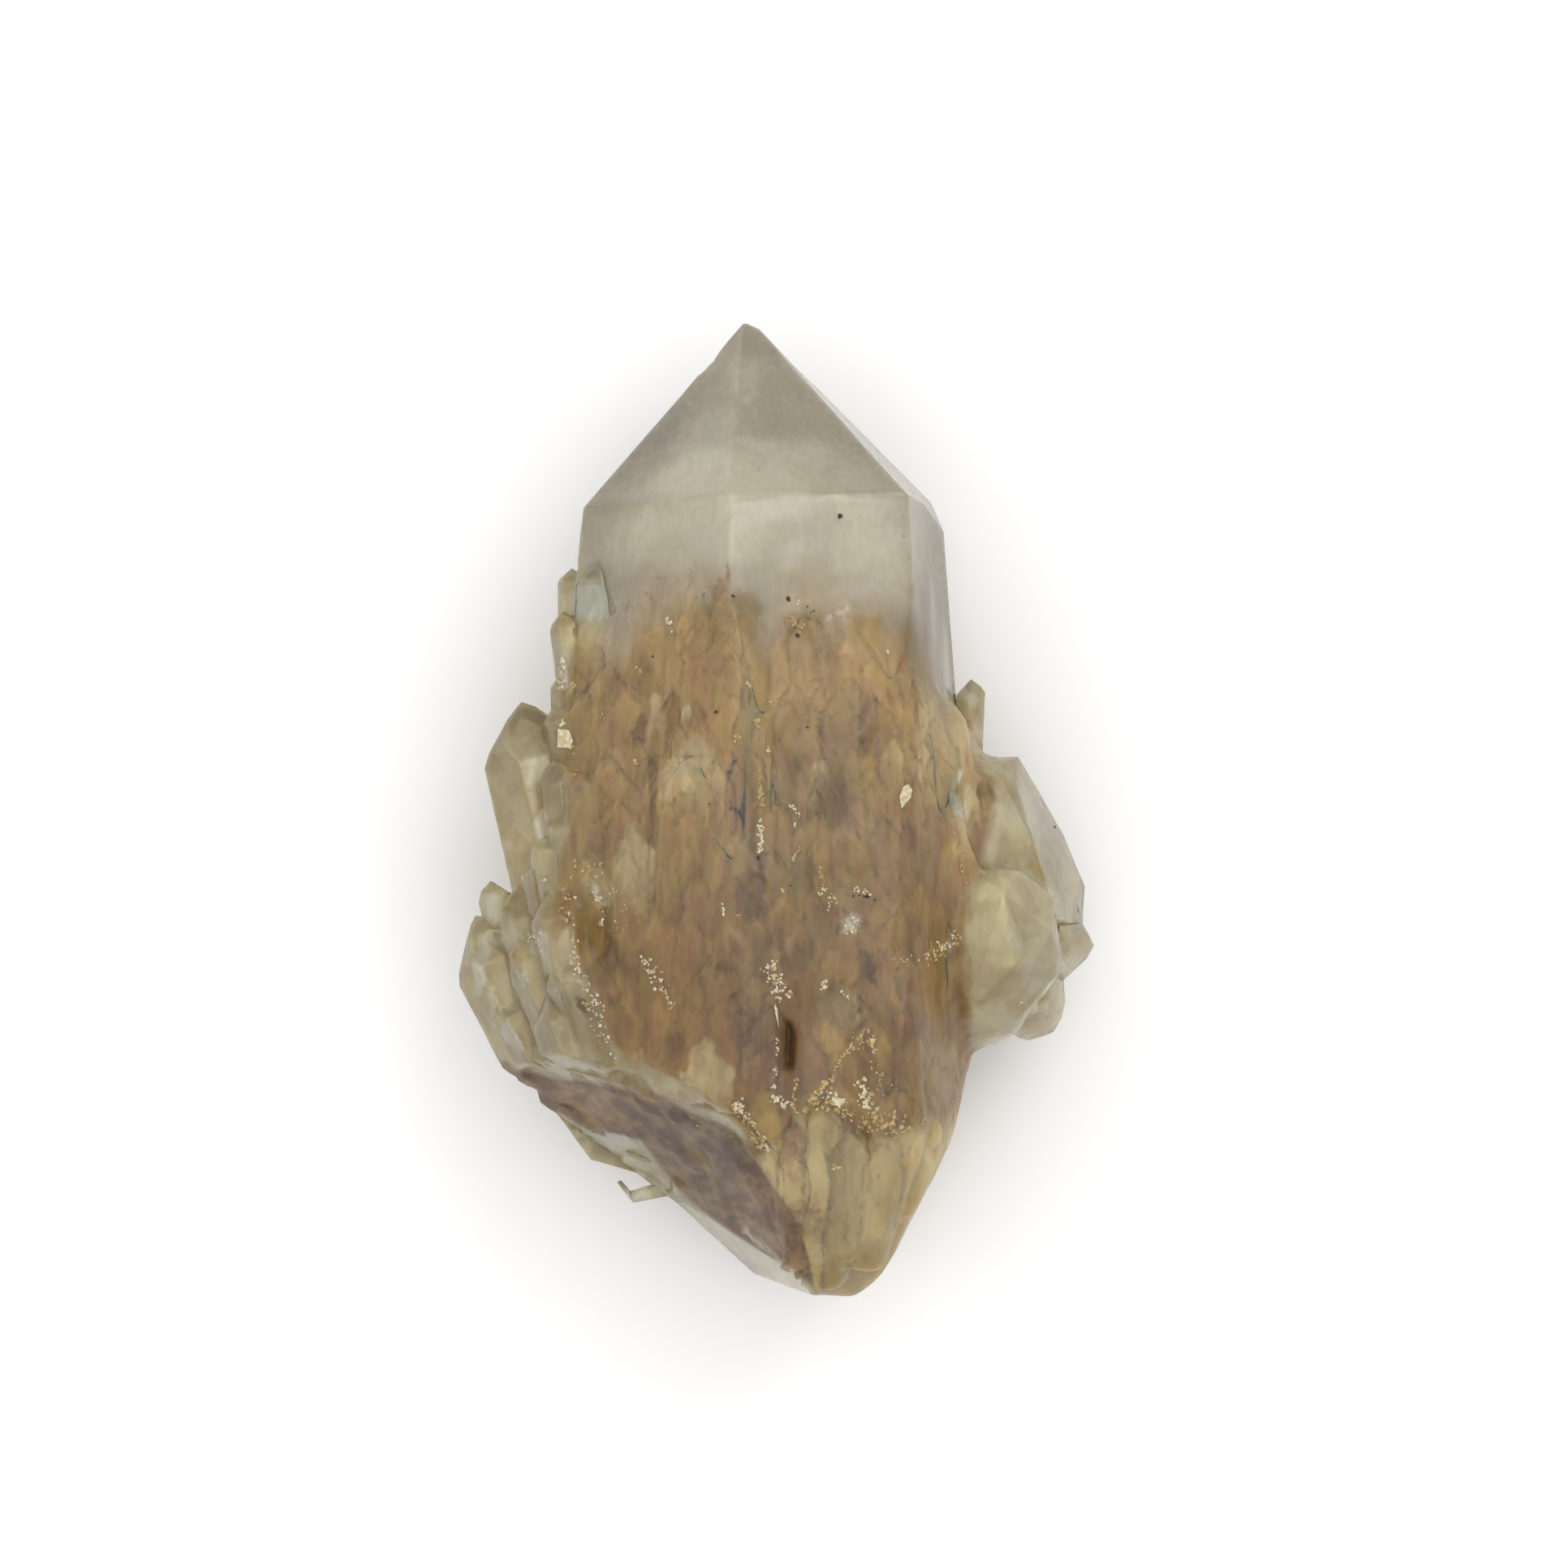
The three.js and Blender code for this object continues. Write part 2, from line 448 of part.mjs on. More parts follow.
// The way that the front faces at x, as a bearing, evened out over the edges between its faces.
function frontBearing(x, y) {
  const STEP = 4;
  const slope = (frontHeight(x - STEP, y) - frontHeight(x + STEP, y)) / (2 * STEP);
  return THREE.MathUtils.radToDeg(Math.atan(slope));
}

// A crust crystal whose front stands up from the crust at its tip and sinks into it at its root.
function frontCrystal([x, y, width, length, listedRise, lean], seed, broadHalfDepth = 0) {
  const rise = RISE_SHARE * listedRise;
  const halfDepth = Math.max(broadHalfDepth * width, rise, LEAST_HALF_DEPTH);
  const flatness = halfDepth / (0.46 * width);
  const shoulderY = y - 0.6 * width;
  const bearing = frontBearing(x, shoulderY);
  const out = rise - halfDepth;
  const surfaceX = x - out * Math.sin(radians(bearing));
  const tipHeight = crustHeight(surfaceX, shoulderY) + out * Math.cos(radians(bearing));
  const rootX = surfaceX - length * Math.sin(radians(lean));
  const sink = crustHeight(rootX, shoulderY - length) - crustHeight(surfaceX, shoulderY);
  const drop = rise + ROOT_DEPTH - sink * Math.cos(radians(bearing));
  const nod = THREE.MathUtils.radToDeg(Math.atan2(drop, length));
  const turn = 30 * Math.round(2 * randomSource(seed)()) + 12 * (randomSource(seed + 1)() - 0.5);
  const tip = [x, y, tipHeight];
  return crystal({ tip, width, length, lean, nod, bearing, turn, flatness, taper: CRUST_TAPER, seed });
}

// Small crystals on the sides and the back, where the crust goes on round the large crystal.
function backCrust() {
  const FIRST_ROW = 14;
  const LAST_ROW = -28;
  const ROW_STEP = 9;
  const FIRST_BEARING = 100;
  const LAST_BEARING = 262;
  const BEARING_STEP = 25;
  const random = randomSource(7);
  const crystals = [];
  for (let y = FIRST_ROW; y >= LAST_ROW; y -= ROW_STEP) {
    for (let azimuth = FIRST_BEARING; azimuth < LAST_BEARING; azimuth += BEARING_STEP) {
      const bearing = azimuth + 9 * (random() - 0.5);
      const tipY = y + 4 * (random() - 0.5);
      const width = 5 + 4 * random();
      const away = sideDistance(bearing, tipY - width) + 0.8 + 2.2 * random() - 0.4 * width;
      const x = -1 + away * Math.sin(radians(bearing));
      const z = AXIS_HEIGHT + away * Math.cos(radians(bearing));
      const lean = 8 * (random() - 0.5);
      const turn = 60 * random();
      const seed = 1000 * random();
      if (z > 1) crystals.push(crystal({ tip: [x, tipY, z], width, length: 14, lean, turn, seed }));
    }
  }
  return crystals;
}

// The body behind the faces that are given, out to the cluster's reach.
function behind(faces) {
  const reach = CLUSTER_REACH;
  const outerFaces = [
    faceAt(point(-reach, 0, 0), -1, 0, 0),
    faceAt(point(reach, 0, 0), 1, 0, 0),
    faceAt(point(0, -reach, 0), 0, -1, 0),
    faceAt(point(0, reach, 0), 0, 1, 0),
    faceAt(point(0, 0, -reach), 0, 0, -1),
    faceAt(point(0, 0, reach), 0, 0, 1),
  ];
  return solidOf(new ConvexGeometry(cornersOf([...faces, ...outerFaces])));
}

function joined(pieces) {
  return pieces.reduce((sum, piece) => sum.add(piece));
}

// The large crystal with its crust, and the pale group at its left, end at the break through the base.
const crusted = joined([
  solidOf(new ConvexGeometry(cornersOf(mainFaces))),
  ...BROAD_CRUST.map((place, index) => frontCrystal(place, 50 + index, BROAD_HALF_DEPTH)),
  ...FRONT_CRUST.map((place, index) => frontCrystal(place, 100 + index)),
  ...backCrust(),
]).intersect(behind(baseFaces));
const leftGroup = joined([chunk(LEFT_FOOT), ...LEFT_GROUP.map(crystal)]).intersect(behind([leftBreak]));
const grownOn = joined([
  ...SIDE_CRYSTALS.map(crystal),
  ...BASE_CRYSTALS.map(crystal),
  ...[LOWER_END, RIGHT_BACK, RIGHT_FRONT, RIGHT_POINT, RIGHT_FOOT, BLADE_ARM, BLADE_END].map(chunk),
  ...FRACTURE_LUMPS.map((place, index) => lump(place, fracture, 300 + index)),
]);
const underFace = new THREE.BoxGeometry(CLUSTER_REACH, CLUSTER_REACH, CLUSTER_REACH);
underFace.translate(0, 0, -CLUSTER_REACH / 2);

let cluster = joined([crusted, leftGroup, grownOn]);
cluster = cluster.subtract(chunk(HOLLOW));
cluster = cluster.subtract(solidOf(underFace));
// The outer skin alone, so that gaps sealed in between crystals are filled.
const skin = cluster.decompose().reduce((most, body) => (body.volume() > most.volume() ? body : most));

const skinMesh = skin.getMesh();
const geometry = new THREE.BufferGeometry();
geometry.setAttribute("position", new THREE.BufferAttribute(skinMesh.vertProperties, 3));
geometry.setIndex(new THREE.BufferAttribute(skinMesh.triVerts, 1));
geometry.computeBoundingBox();
const middle = geometry.boundingBox.getCenter(point(0, 0, 0));
geometry.translate(-middle.x, -middle.y, 0);
geometry.computeVertexNormals();

const material = new THREE.MeshStandardMaterial({ color: CLUSTER_COLOUR, roughness: 0.35, metalness: 0 });
const crystalCluster = new THREE.Mesh(geometry, material);
crystalCluster.name = "crystal_cluster";

const specimen = new THREE.Group();
specimen.name = "quartz_specimen";
specimen.add(crystalCluster);

export default specimen;
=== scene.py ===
"""Quartz crystal cluster, lying on its flat back and seen straight from above.

Metres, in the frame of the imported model: +X is the viewer's right, +Y runs from the broken base to the
tip, and +Z points up at the viewer.
"""

import math
import random

import bmesh
import bpy
import numpy as np
from mathutils import Matrix, Vector
from mathutils.bvhtree import BVHTree


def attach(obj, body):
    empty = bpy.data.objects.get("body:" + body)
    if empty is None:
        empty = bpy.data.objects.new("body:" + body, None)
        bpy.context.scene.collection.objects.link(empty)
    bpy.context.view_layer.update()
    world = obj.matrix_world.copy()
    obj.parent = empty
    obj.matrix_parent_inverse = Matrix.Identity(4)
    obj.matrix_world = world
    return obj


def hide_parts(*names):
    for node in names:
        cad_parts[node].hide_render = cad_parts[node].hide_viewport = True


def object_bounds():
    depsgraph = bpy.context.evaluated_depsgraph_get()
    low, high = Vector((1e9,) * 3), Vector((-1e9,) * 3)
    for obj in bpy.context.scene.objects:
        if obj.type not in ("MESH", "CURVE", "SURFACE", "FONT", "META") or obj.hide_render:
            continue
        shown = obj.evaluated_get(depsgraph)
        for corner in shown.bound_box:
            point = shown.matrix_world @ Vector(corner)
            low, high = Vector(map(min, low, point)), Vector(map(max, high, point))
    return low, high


MM = 0.001

# The photograph: a pixel is a tenth of a millimetre, and these are the column and row of the frame's origin.
PHOTO_SIDE = 1932
PIXEL = 0.1 * MM
ORIGIN_COLUMN = 957.15
ORIGIN_ROW = 996.6

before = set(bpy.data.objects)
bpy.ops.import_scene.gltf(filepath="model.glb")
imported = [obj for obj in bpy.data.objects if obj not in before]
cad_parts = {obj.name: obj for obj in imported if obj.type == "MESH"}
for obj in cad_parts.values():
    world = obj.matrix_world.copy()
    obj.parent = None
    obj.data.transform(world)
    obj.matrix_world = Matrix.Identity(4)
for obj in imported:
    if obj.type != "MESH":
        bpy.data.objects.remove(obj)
cad_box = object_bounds()
cad_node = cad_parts["crystal_cluster"]


def seen_at(column, row):
    """The x and y of what the photograph shows at a pixel."""
    return (column - ORIGIN_COLUMN) * PIXEL, (ORIGIN_ROW - row) * PIXEL


def pixels_of(points):
    """The columns and rows at which the photograph shows the points."""
    return points[:, 0] / PIXEL + ORIGIN_COLUMN, ORIGIN_ROW - points[:, 1] / PIXEL


# Camera, floor and light

CAMERA_DISTANCE = 2.5
CAMERA_PLANE = 20 * MM  # height at which a pixel of the photograph is a tenth of a millimetre
SENSOR_WIDTH = 36
FLOOR_GAP = 0.2 * MM
FLOOR_SIZE = 4
FLOOR_GREY = (0.94, 0.94, 0.94, 1)
HORIZON_LIGHT = 0.45
SKY_LIGHT = 1.25
KEY_PLACE = (0.5, 0.7, 1.2)
KEY_SIZE = 0.9
KEY_POWER = 3


def add_object(name, data):
    made = bpy.data.objects.new(name, data)
    bpy.context.scene.collection.objects.link(made)
    return made


def make_camera():
    data = bpy.data.cameras.new("camera")
    camera = add_object("camera", data)
    centre_x, centre_y = seen_at(PHOTO_SIDE / 2, PHOTO_SIDE / 2)
    camera.location = (centre_x, centre_y, CAMERA_PLANE + CAMERA_DISTANCE)
    data.sensor_width = SENSOR_WIDTH
    data.lens = SENSOR_WIDTH * CAMERA_DISTANCE / (PHOTO_SIDE * PIXEL)
    bpy.context.scene.camera = camera


def make_floor():
    mesh = bpy.data.meshes.new("floor")
    floor = add_object("floor", mesh)
    form = bmesh.new()
    bmesh.ops.create_grid(form, x_segments=1, y_segments=1, size=FLOOR_SIZE)
    form.to_mesh(mesh)
    form.free()
    floor.location.z = -FLOOR_GAP
    material = bpy.data.materials.new("floor")
    material.use_nodes = True
    shader = material.node_tree.nodes["Principled BSDF"]
    shader.inputs["Base Color"].default_value = FLOOR_GREY
    shader.inputs["Roughness"].default_value = 0.9
    shader.inputs["Specular IOR Level"].default_value = 0.1
    mesh.materials.append(material)


def make_light():
    world = bpy.data.worlds.new("studio")
    world.use_nodes = True
    nodes = world.node_tree.nodes
    links = world.node_tree.links
    direction = nodes.new("ShaderNodeTexCoord").outputs["Generated"]
    parts = nodes.new("ShaderNodeSeparateXYZ")
    links.new(direction, parts.inputs[0])
    rise = nodes.new("ShaderNodeMapRange")
    rise.interpolation_type = "SMOOTHSTEP"
    links.new(parts.outputs["Z"], rise.inputs["Value"])
    rise.inputs["From Min"].default_value = 0.0
    rise.inputs["From Max"].default_value = 0.6
    rise.inputs["To Min"].default_value = HORIZON_LIGHT
    rise.inputs["To Max"].default_value = SKY_LIGHT
    nodes["Background"].inputs["Color"].default_value = (1, 1, 1, 1)
    links.new(rise.outputs["Result"], nodes["Background"].inputs["Strength"])
    bpy.context.scene.world = world
    data = bpy.data.lights.new("key light", "AREA")
    data.shape = "DISK"
    data.size = KEY_SIZE
    data.energy = KEY_POWER
    light = add_object("key light", data)
    light.location = KEY_PLACE
    light.rotation_euler = (-Vector(KEY_PLACE)).to_track_quat("-Z", "Y").to_euler()
    bpy.context.scene.view_settings.view_transform = "Standard"


# Smooth random fields, the same at every run


def field(points, size, seed):
    """Smooth numbers from -1 to 1, one for each point, that vary over the size given along x, y and z."""
    place = points / np.asarray(size) + 17.3 * seed
    cell = np.floor(place).astype(np.int64)
    part = place - cell
    part = part * part * (3 - 2 * part)
    total = np.zeros(len(points))
    for corner in range(8):
        offset = np.array([corner & 1, corner >> 1 & 1, corner >> 2 & 1])
        at = cell + offset
        mixed = at[:, 0] * 73856093 ^ at[:, 1] * 19349663 ^ at[:, 2] * 83492791 ^ seed * 2654435761
        mixed = (mixed ^ mixed >> 13) * 1274126177 & 0x7FFFFFFF
        mixed ^= mixed >> 15
        value = (mixed & 0xFFFF) / 32767.5 - 1
        weight = np.where(offset, part, 1 - part).prod(axis=1)
        total += weight * value
    return total


def rough_field(points, size, seed, octaves=3):
    """A field with finer and weaker ones added."""
    size = np.asarray(size, float) * np.ones(3)
    total = sum(field(points, size / 2**k, seed + 31 * k) / 2**k for k in range(octaves))
    return total / (2 - 0.5 ** (octaves - 1))


def smooth_step(low, high, value):
    share = np.clip((value - low) / (high - low), 0, 1)
    return share * share * (3 - 2 * share)


# Where things lie, as columns and rows of the photograph. Each list is a line from point to point.

# Row at which the crust on the front begins, from left to right
CRUST_START = [
    (640, 700), (690, 704), (720, 714), (745, 722), (775, 738), (800, 724), (830, 716), (865, 714),
    (896, 722), (907, 748), (925, 785), (943, 828), (955, 792), (966, 758), (990, 748), (1020, 752),
    (1045, 750), (1075, 768), (1105, 805), (1130, 842), (1160, 850), (1200, 850),
]
# Row at which the crust's colour has half faded in, from left to right
TINT_START = [
    (640, 700), (700, 745), (760, 785), (800, 738), (840, 728), (880, 722), (925, 770), (945, 790),
    (960, 750), (1000, 738), (1040, 745), (1080, 765), (1120, 810), (1160, 860), (1200, 870),
]
# Column at which the pale crystals at the left end, from the top down
LEFT_PALE_END = [
    (745, 690), (742, 740), (725, 765), (706, 800), (696, 850), (690, 930), (708, 985), (692, 1045),
    (688, 1090), (708, 1130), (714, 1190), (735, 1230), (756, 1285), (806, 1316), (868, 1340), (915, 1385),
]
# Column at which the pale crystals at the right begin, from the top down
RIGHT_PALE_START = [
    (1300, 840), (1186, 842), (1214, 930), (1222, 1000), (1212, 1060), (1196, 1100), (1186, 1150),
    (1188, 1200), (1194, 1260), (1197, 1300), (1300, 1302),
]
# Row at which the broken face at the lower left begins, from left to right
BREAK_START = [
    (560, 1270), (640, 1319), (690, 1328), (750, 1336), (800, 1344), (830, 1354), (870, 1374), (905, 1390),
    (930, 1422), (960, 1468), (985, 1502), (1000, 1560), (1010, 1640),
]
# Row at which the clear crystal under the broken face begins, from left to right
SIDE_START = [
    (680, 1360), (693, 1373), (720, 1391), (790, 1404), (812, 1432), (836, 1466), (866, 1492), (900, 1516),
    (940, 1540), (972, 1556), (1005, 1580), (1030, 1610), (1300, 1700),
]
# Row at which the pale lower end begins, from left to right
FOOT_START = [
    (900, 1440), (945, 1408), (975, 1372), (1005, 1352), (1035, 1375), (1060, 1398), (1100, 1392),
    (1140, 1380), (1185, 1366), (1220, 1360),
]

# Marks on the front: column, row, half width, half height, heading in degrees where it isn't 0, strength
PALE_MARKS = [
    (856, 965, 46, 62, 0.85), (810, 889, 11, 40, 0.8), (782, 1080, 24, 70, 0.9), (874, 1332, 36, 54, 0.9),
    (1160, 925, 32, 80, 1), (683, 967, 17, 33, 0.8), (739, 1102, 21, 38, 0.7), (725, 735, 20, 12, 0.9),
    (720, 775, 24, 40, 0.9), (1012, 965, 9, 36, 0.6), (1034, 795, 4, 15, 0.8), (1190, 1000, 20, 40, 0.7),
    (1100, 960, 20, 60, 0.5), (1165, 760, 18, 100, 0.6), (756, 960, 22, 40, 0.4), (915, 1060, 18, 60, 0.3),
    (1050, 1240, 22, 34, 0.6), (1120, 1250, 30, 40, 0.35), (800, 770, 26, 30, 0.4),
    (1080, 815, 30, 22, 0.35), (785, 1305, 40, 22, 12, 0.5), (1110, 1120, 24, 24, 0.4),
    (1140, 1408, 46, 44, 1), (1085, 1450, 30, 60, 0.4), (1185, 1040, 16, 50, 0.7),
]
MAUVE_MARKS = [
    (768, 848, 26, 22, 0.9), (878, 830, 30, 30, 0.8), (1070, 890, 11, 42, 0.8), (973, 1424, 16, 50, 0.9),
    (1165, 1120, 17, 42, 0.8), (900, 1010, 30, 60, 0.6), (1040, 1000, 18, 60, 0.6),
    (1140, 1290, 46, 90, 0.6), (860, 1130, 40, 50, 0.7), (750, 905, 24, 40, 0.6), (960, 1130, 30, 40, 0.5),
    (1006, 880, 22, 50, 0.4), (930, 1260, 30, 60, 0.4), (1100, 1050, 40, 60, 0.6),
    (1170, 1310, 20, 60, 0.5),
]
DARK_MARKS = [
    (829, 888, 8, 40, 0.9), (790, 912, 8, 32, 0.8), (862, 888, 25, 24, 0.5), (806, 990, 5, 54, 0.8),
    (752, 1190, 38, 44, 0.7), (925, 1100, 22, 42, 0.8), (938, 1085, 5, 30, 1), (887, 1192, 8, 9, 1),
    (867, 1212, 9, 15, 0.9), (835, 1292, 20, 24, 0.8), (1041, 1040, 11, 80, 0.5),
    (1072, 1205, 10, 42, -20, 0.8), (1052, 1318, 30, 36, 0.8), (930, 1310, 24, 90, 6, 0.6),
    (721, 1240, 7, 16, -35, 0.9), (760, 1235, 40, 20, 25, 0.6), (990, 1180, 40, 40, 0.5),
    (905, 1205, 16, 60, 0.5), (985, 1080, 16, 60, 0.4), (1010, 1000, 6, 50, 0.4),
    (1100, 1310, 16, 60, 10, 0.4), (1214, 982, 11, 28, 0.8), (1196, 900, 5, 24, 0.5),
    (728, 1050, 16, 14, 0.7), (985, 1500, 40, 50, 30, 0.6), (960, 1550, 40, 30, 40, 0.5),
    (1030, 1440, 16, 60, 0.2), (690, 1240, 16, 30, 0.4), (973, 1424, 15, 48, 0.5),
    (1014, 1390, 18, 42, 0.35),
]
# Painted shade in a deep hollow
HOLLOW_SHADE_MARKS = [(971, 1282, 26, 76, 1, 1)]
SMOKE_MARKS = [
    (655, 930, 50, 80, 1), (1300, 1080, 30, 60, 30, 0.5), (1240, 1190, 60, 60, 0.5),
    (655, 1260, 40, 50, -30, 0.5), (705, 1260, 40, 60, -30, 0.5), (1235, 1260, 40, 20, 0.5),
    (905, 1535, 110, 34, 33, 1),
]
BRIGHT_MARKS = [
    (720, 755, 26, 60, 1), (830, 880, 34, 60, 0.9), (856, 950, 54, 84, 0.75), (785, 905, 60, 50, 0.45),
    (750, 980, 40, 50, 0.5), (1180, 1020, 24, 80, 0.8), (640, 1025, 40, 50, 0.6), (1140, 1230, 30, 30, 0.4),
    (1150, 1405, 40, 30, 0.7), (1250, 1130, 60, 60, 0.3), (700, 1250, 30, 40, -30, 0.2),
    (790, 1470, 34, 20, 1), (868, 1345, 50, 26, 18, 0.5), (800, 1325, 40, 20, 12, 0.5),
    (917, 440, 40, 50, 0.2), (780, 1090, 40, 70, 0.3), (1140, 900, 40, 60, 0.3),
]
DIM_MARKS = [
    (990, 780, 40, 40, 0.9), (905, 770, 50, 40, 0.7), (985, 1060, 50, 70, 0.6), (930, 1200, 60, 80, 0.7),
    (1050, 1230, 50, 50, 0.5), (1150, 1320, 60, 70, 0.75), (960, 950, 30, 60, 0.3),
    (850, 1420, 90, 40, 20, 0.7), (1300, 1040, 60, 60, 30, 0.4), (1315, 1135, 24, 40, 0.8),
    (750, 1200, 50, 60, 0.4), (935, 1095, 40, 60, 0.5), (800, 540, 30, 90, 41, 0.8),
    (925, 520, 60, 50, 0.4), (1000, 1090, 110, 150, 0.7), (1035, 1110, 50, 70, 0.9),
    (1040, 1390, 40, 40, 0.5),
]
# Painted shade on the steep right sides of the prism and the tip, in a darker tan
FLANK_SHADE_MARKS = [(1160, 740, 36, 130, -3, 1), (1146, 805, 50, 60, -20, 1), (1075, 535, 10, 110, -43, 0.7)]
YELLOW_MARKS = [
    (1062, 778, 26, 24, 0.9), (988, 772, 26, 22, 1), (930, 880, 12, 50, 0.6), (1290, 1075, 44, 20, 40, 0.6),
    (1280, 1245, 34, 34, 0.6), (696, 1110, 13, 52, 12, 0.9), (1160, 1166, 22, 12, -20, 0.8),
    (1000, 1352, 60, 18, 0.8), (943, 1384, 22, 26, 0.9), (1032, 1290, 14, 50, -30, 0.8),
    (1080, 1376, 26, 20, 0.8), (938, 1000, 8, 40, 0.7), (1012, 1070, 12, 50, 0.6), (880, 900, 14, 60, 0.4),
    (900, 800, 16, 40, 0.5), (960, 830, 20, 40, 0.5), (1188, 1100, 8, 60, 0.6),
    (745, 1290, 12, 40, -25, 0.6), (820, 1345, 90, 8, 13, 0.6), (705, 990, 8, 60, 0.5),
    (1120, 905, 10, 50, 0.5), (1000, 1540, 60, 36, 30, 0.4), (1084, 1300, 10, 40, 12, 0.6),
    (700, 870, 8, 60, 0.6), (1190, 1210, 7, 60, 0.5), (840, 1240, 30, 40, 40, 0.4),
    (960, 1200, 16, 30, 0.4), (905, 765, 44, 34, 0.7), (1050, 1230, 40, 50, 0.35),
    (1150, 1330, 50, 60, 0.65), (1050, 1565, 60, 30, 0.8), (800, 780, 50, 40, 0.35),
    (1146, 800, 26, 50, 0.5), (960, 1060, 34, 110, 0.3), (930, 1205, 30, 50, 0.35),
]
RUST_MARKS = [
    (884, 728, 16, 16, 0.6), (733, 697, 9, 6, 0.4), (816, 714, 9, 7, 0.5), (853, 703, 7, 7, 0.4),
    (1113, 816, 10, 14, 0.9), (1127, 865, 4, 38, -4, 0.8), (979, 776, 14, 10, 0.7), (839, 782, 6, 5, 0.8),
    (800, 738, 18, 8, 20, 0.5), (770, 745, 16, 7, 30, 0.5), (700, 1120, 9, 30, 10, 0.8),
    (896, 715, 3, 26, 0.5), (862, 693, 7, 4, 0.35), (938, 577, 6, 4, 0.3), (885, 586, 10, 5, 0.25),
    (1160, 1108, 4, 30, 0.5), (840, 800, 20, 6, 0.4), (1024, 770, 10, 5, 0.5), (930, 1395, 10, 20, 10, 0.6),
]
# Painted highlights: pale bluish reflections and glints on glassy faces
ICE_HIGHLIGHT_MARKS = [
    (609, 1113, 9, 12, 1), (594, 1185, 10, 38, 6, 1), (631, 1280, 9, 22, -30, 1), (669, 1018, 9, 20, 1),
    (1190, 859, 9, 13, 1), (1318, 1136, 11, 32, -35, 0.2), (1248, 1160, 8, 22, -25, 0.5),
    (655, 945, 8, 22, 0.6), (750, 1404, 42, 11, 14, 1), (846, 878, 12, 12, 0.5), (1180, 990, 20, 22, 0.4),
    (1270, 1000, 40, 34, 0.6), (1048, 1138, 14, 13, 0.6), (668, 1160, 12, 12, 0.5),
    (1312, 1195, 16, 9, 40, 0.8), (724, 738, 24, 26, 0.9), (1340, 1160, 6, 8, 0.6),
    (645, 1205, 7, 14, 20, 0.5), (1215, 900, 4, 16, 0.5), (694, 828, 6, 18, 0.9),
    (760, 1430, 44, 5, 14, 0.5), (786, 1472, 34, 18, -20, 1), (620, 1150, 5, 14, 0.5),
    (690, 1265, 12, 16, 0.3),
]
# Milky cloud in the tip, painted lighter where light shines through it
MILK_AND_GLOW_MARKS = [
    (905, 600, 95, 60, 1), (860, 665, 110, 42, 0.9), (1060, 600, 70, 50, 0.6), (1080, 680, 70, 50, 0.5),
    (920, 470, 22, 30, 0.5), (880, 530, 34, 24, -30, 0.6), (1240, 1060, 50, 50, 0.4),
    (955, 780, 30, 50, 0.4),
]
MARKS = {
    "light": PALE_MARKS,
    "mauve": MAUVE_MARKS,
    "dark": DARK_MARKS,
    "hollow_shade": HOLLOW_SHADE_MARKS,
    "yellow": YELLOW_MARKS,
    "rust": RUST_MARKS,
    "ice_highlight": ICE_HIGHLIGHT_MARKS,
    "milk_and_glow": MILK_AND_GLOW_MARKS,
    "flank_shade": FLANK_SHADE_MARKS,
    "smoke": SMOKE_MARKS,
    "bright": BRIGHT_MARKS,
    "dim": DIM_MARKS,
}
POINTED_MARKS = ("light", "mauve", "dark")
# Where the front is even and has no clefts, in the same way
EVEN_PLACES = [
    (943, 890, 50, 170, 1), (1175, 1235, 56, 130, 1), (1150, 960, 60, 130, 0.9), (1110, 1300, 50, 90, 1),
    (820, 1260, 90, 70, 20, 0.7), (1020, 1445, 50, 90, 0.9), (1100, 830, 90, 60, 30, 1),
    (1000, 1150, 120, 120, 0.5), (838, 735, 66, 40, 0.9), (1030, 775, 90, 40, 0.9), (900, 1005, 50, 110, 1),
    (1160, 985, 40, 60, 1),
]
# Deep clefts that are rounded shut first, in the same way
CLEFTS = [(910, 1000, 26, 100, 1), (952, 850, 26, 60, 1)]
# Thin lines on the front: from column and row, to column and row, half width and strength
TIP_SEAMS = [
    (718, 625, 800, 618, 4, 0.45), (800, 618, 960, 605, 4, 0.2), (960, 605, 1045, 611, 4, 0.25),
    (1045, 611, 1150, 618, 5, 0.55), (1110, 624, 1150, 628, 9, 0.5), (905, 620, 955, 613, 3, 0.4),
    (720, 634, 790, 628, 6, 0.25), (917, 400, 880, 470, 7, 0.25), (1050, 622, 1110, 622, 5, 0.3),
]
TIP_STAINS = [
    (896, 640, 896, 745, 4, 0.35), (815, 670, 835, 664, 7, 0.3), (800, 680, 842, 672, 5, 0.25),
    (936, 578, 944, 573, 5, 0.3), (878, 590, 890, 580, 6, 0.3), (870, 600, 890, 596, 4, 0.25),
    (850, 712, 856, 700, 7, 0.3), (1155, 670, 1160, 690, 6, 0.4), (940, 700, 1000, 706, 4, 0.2),
]
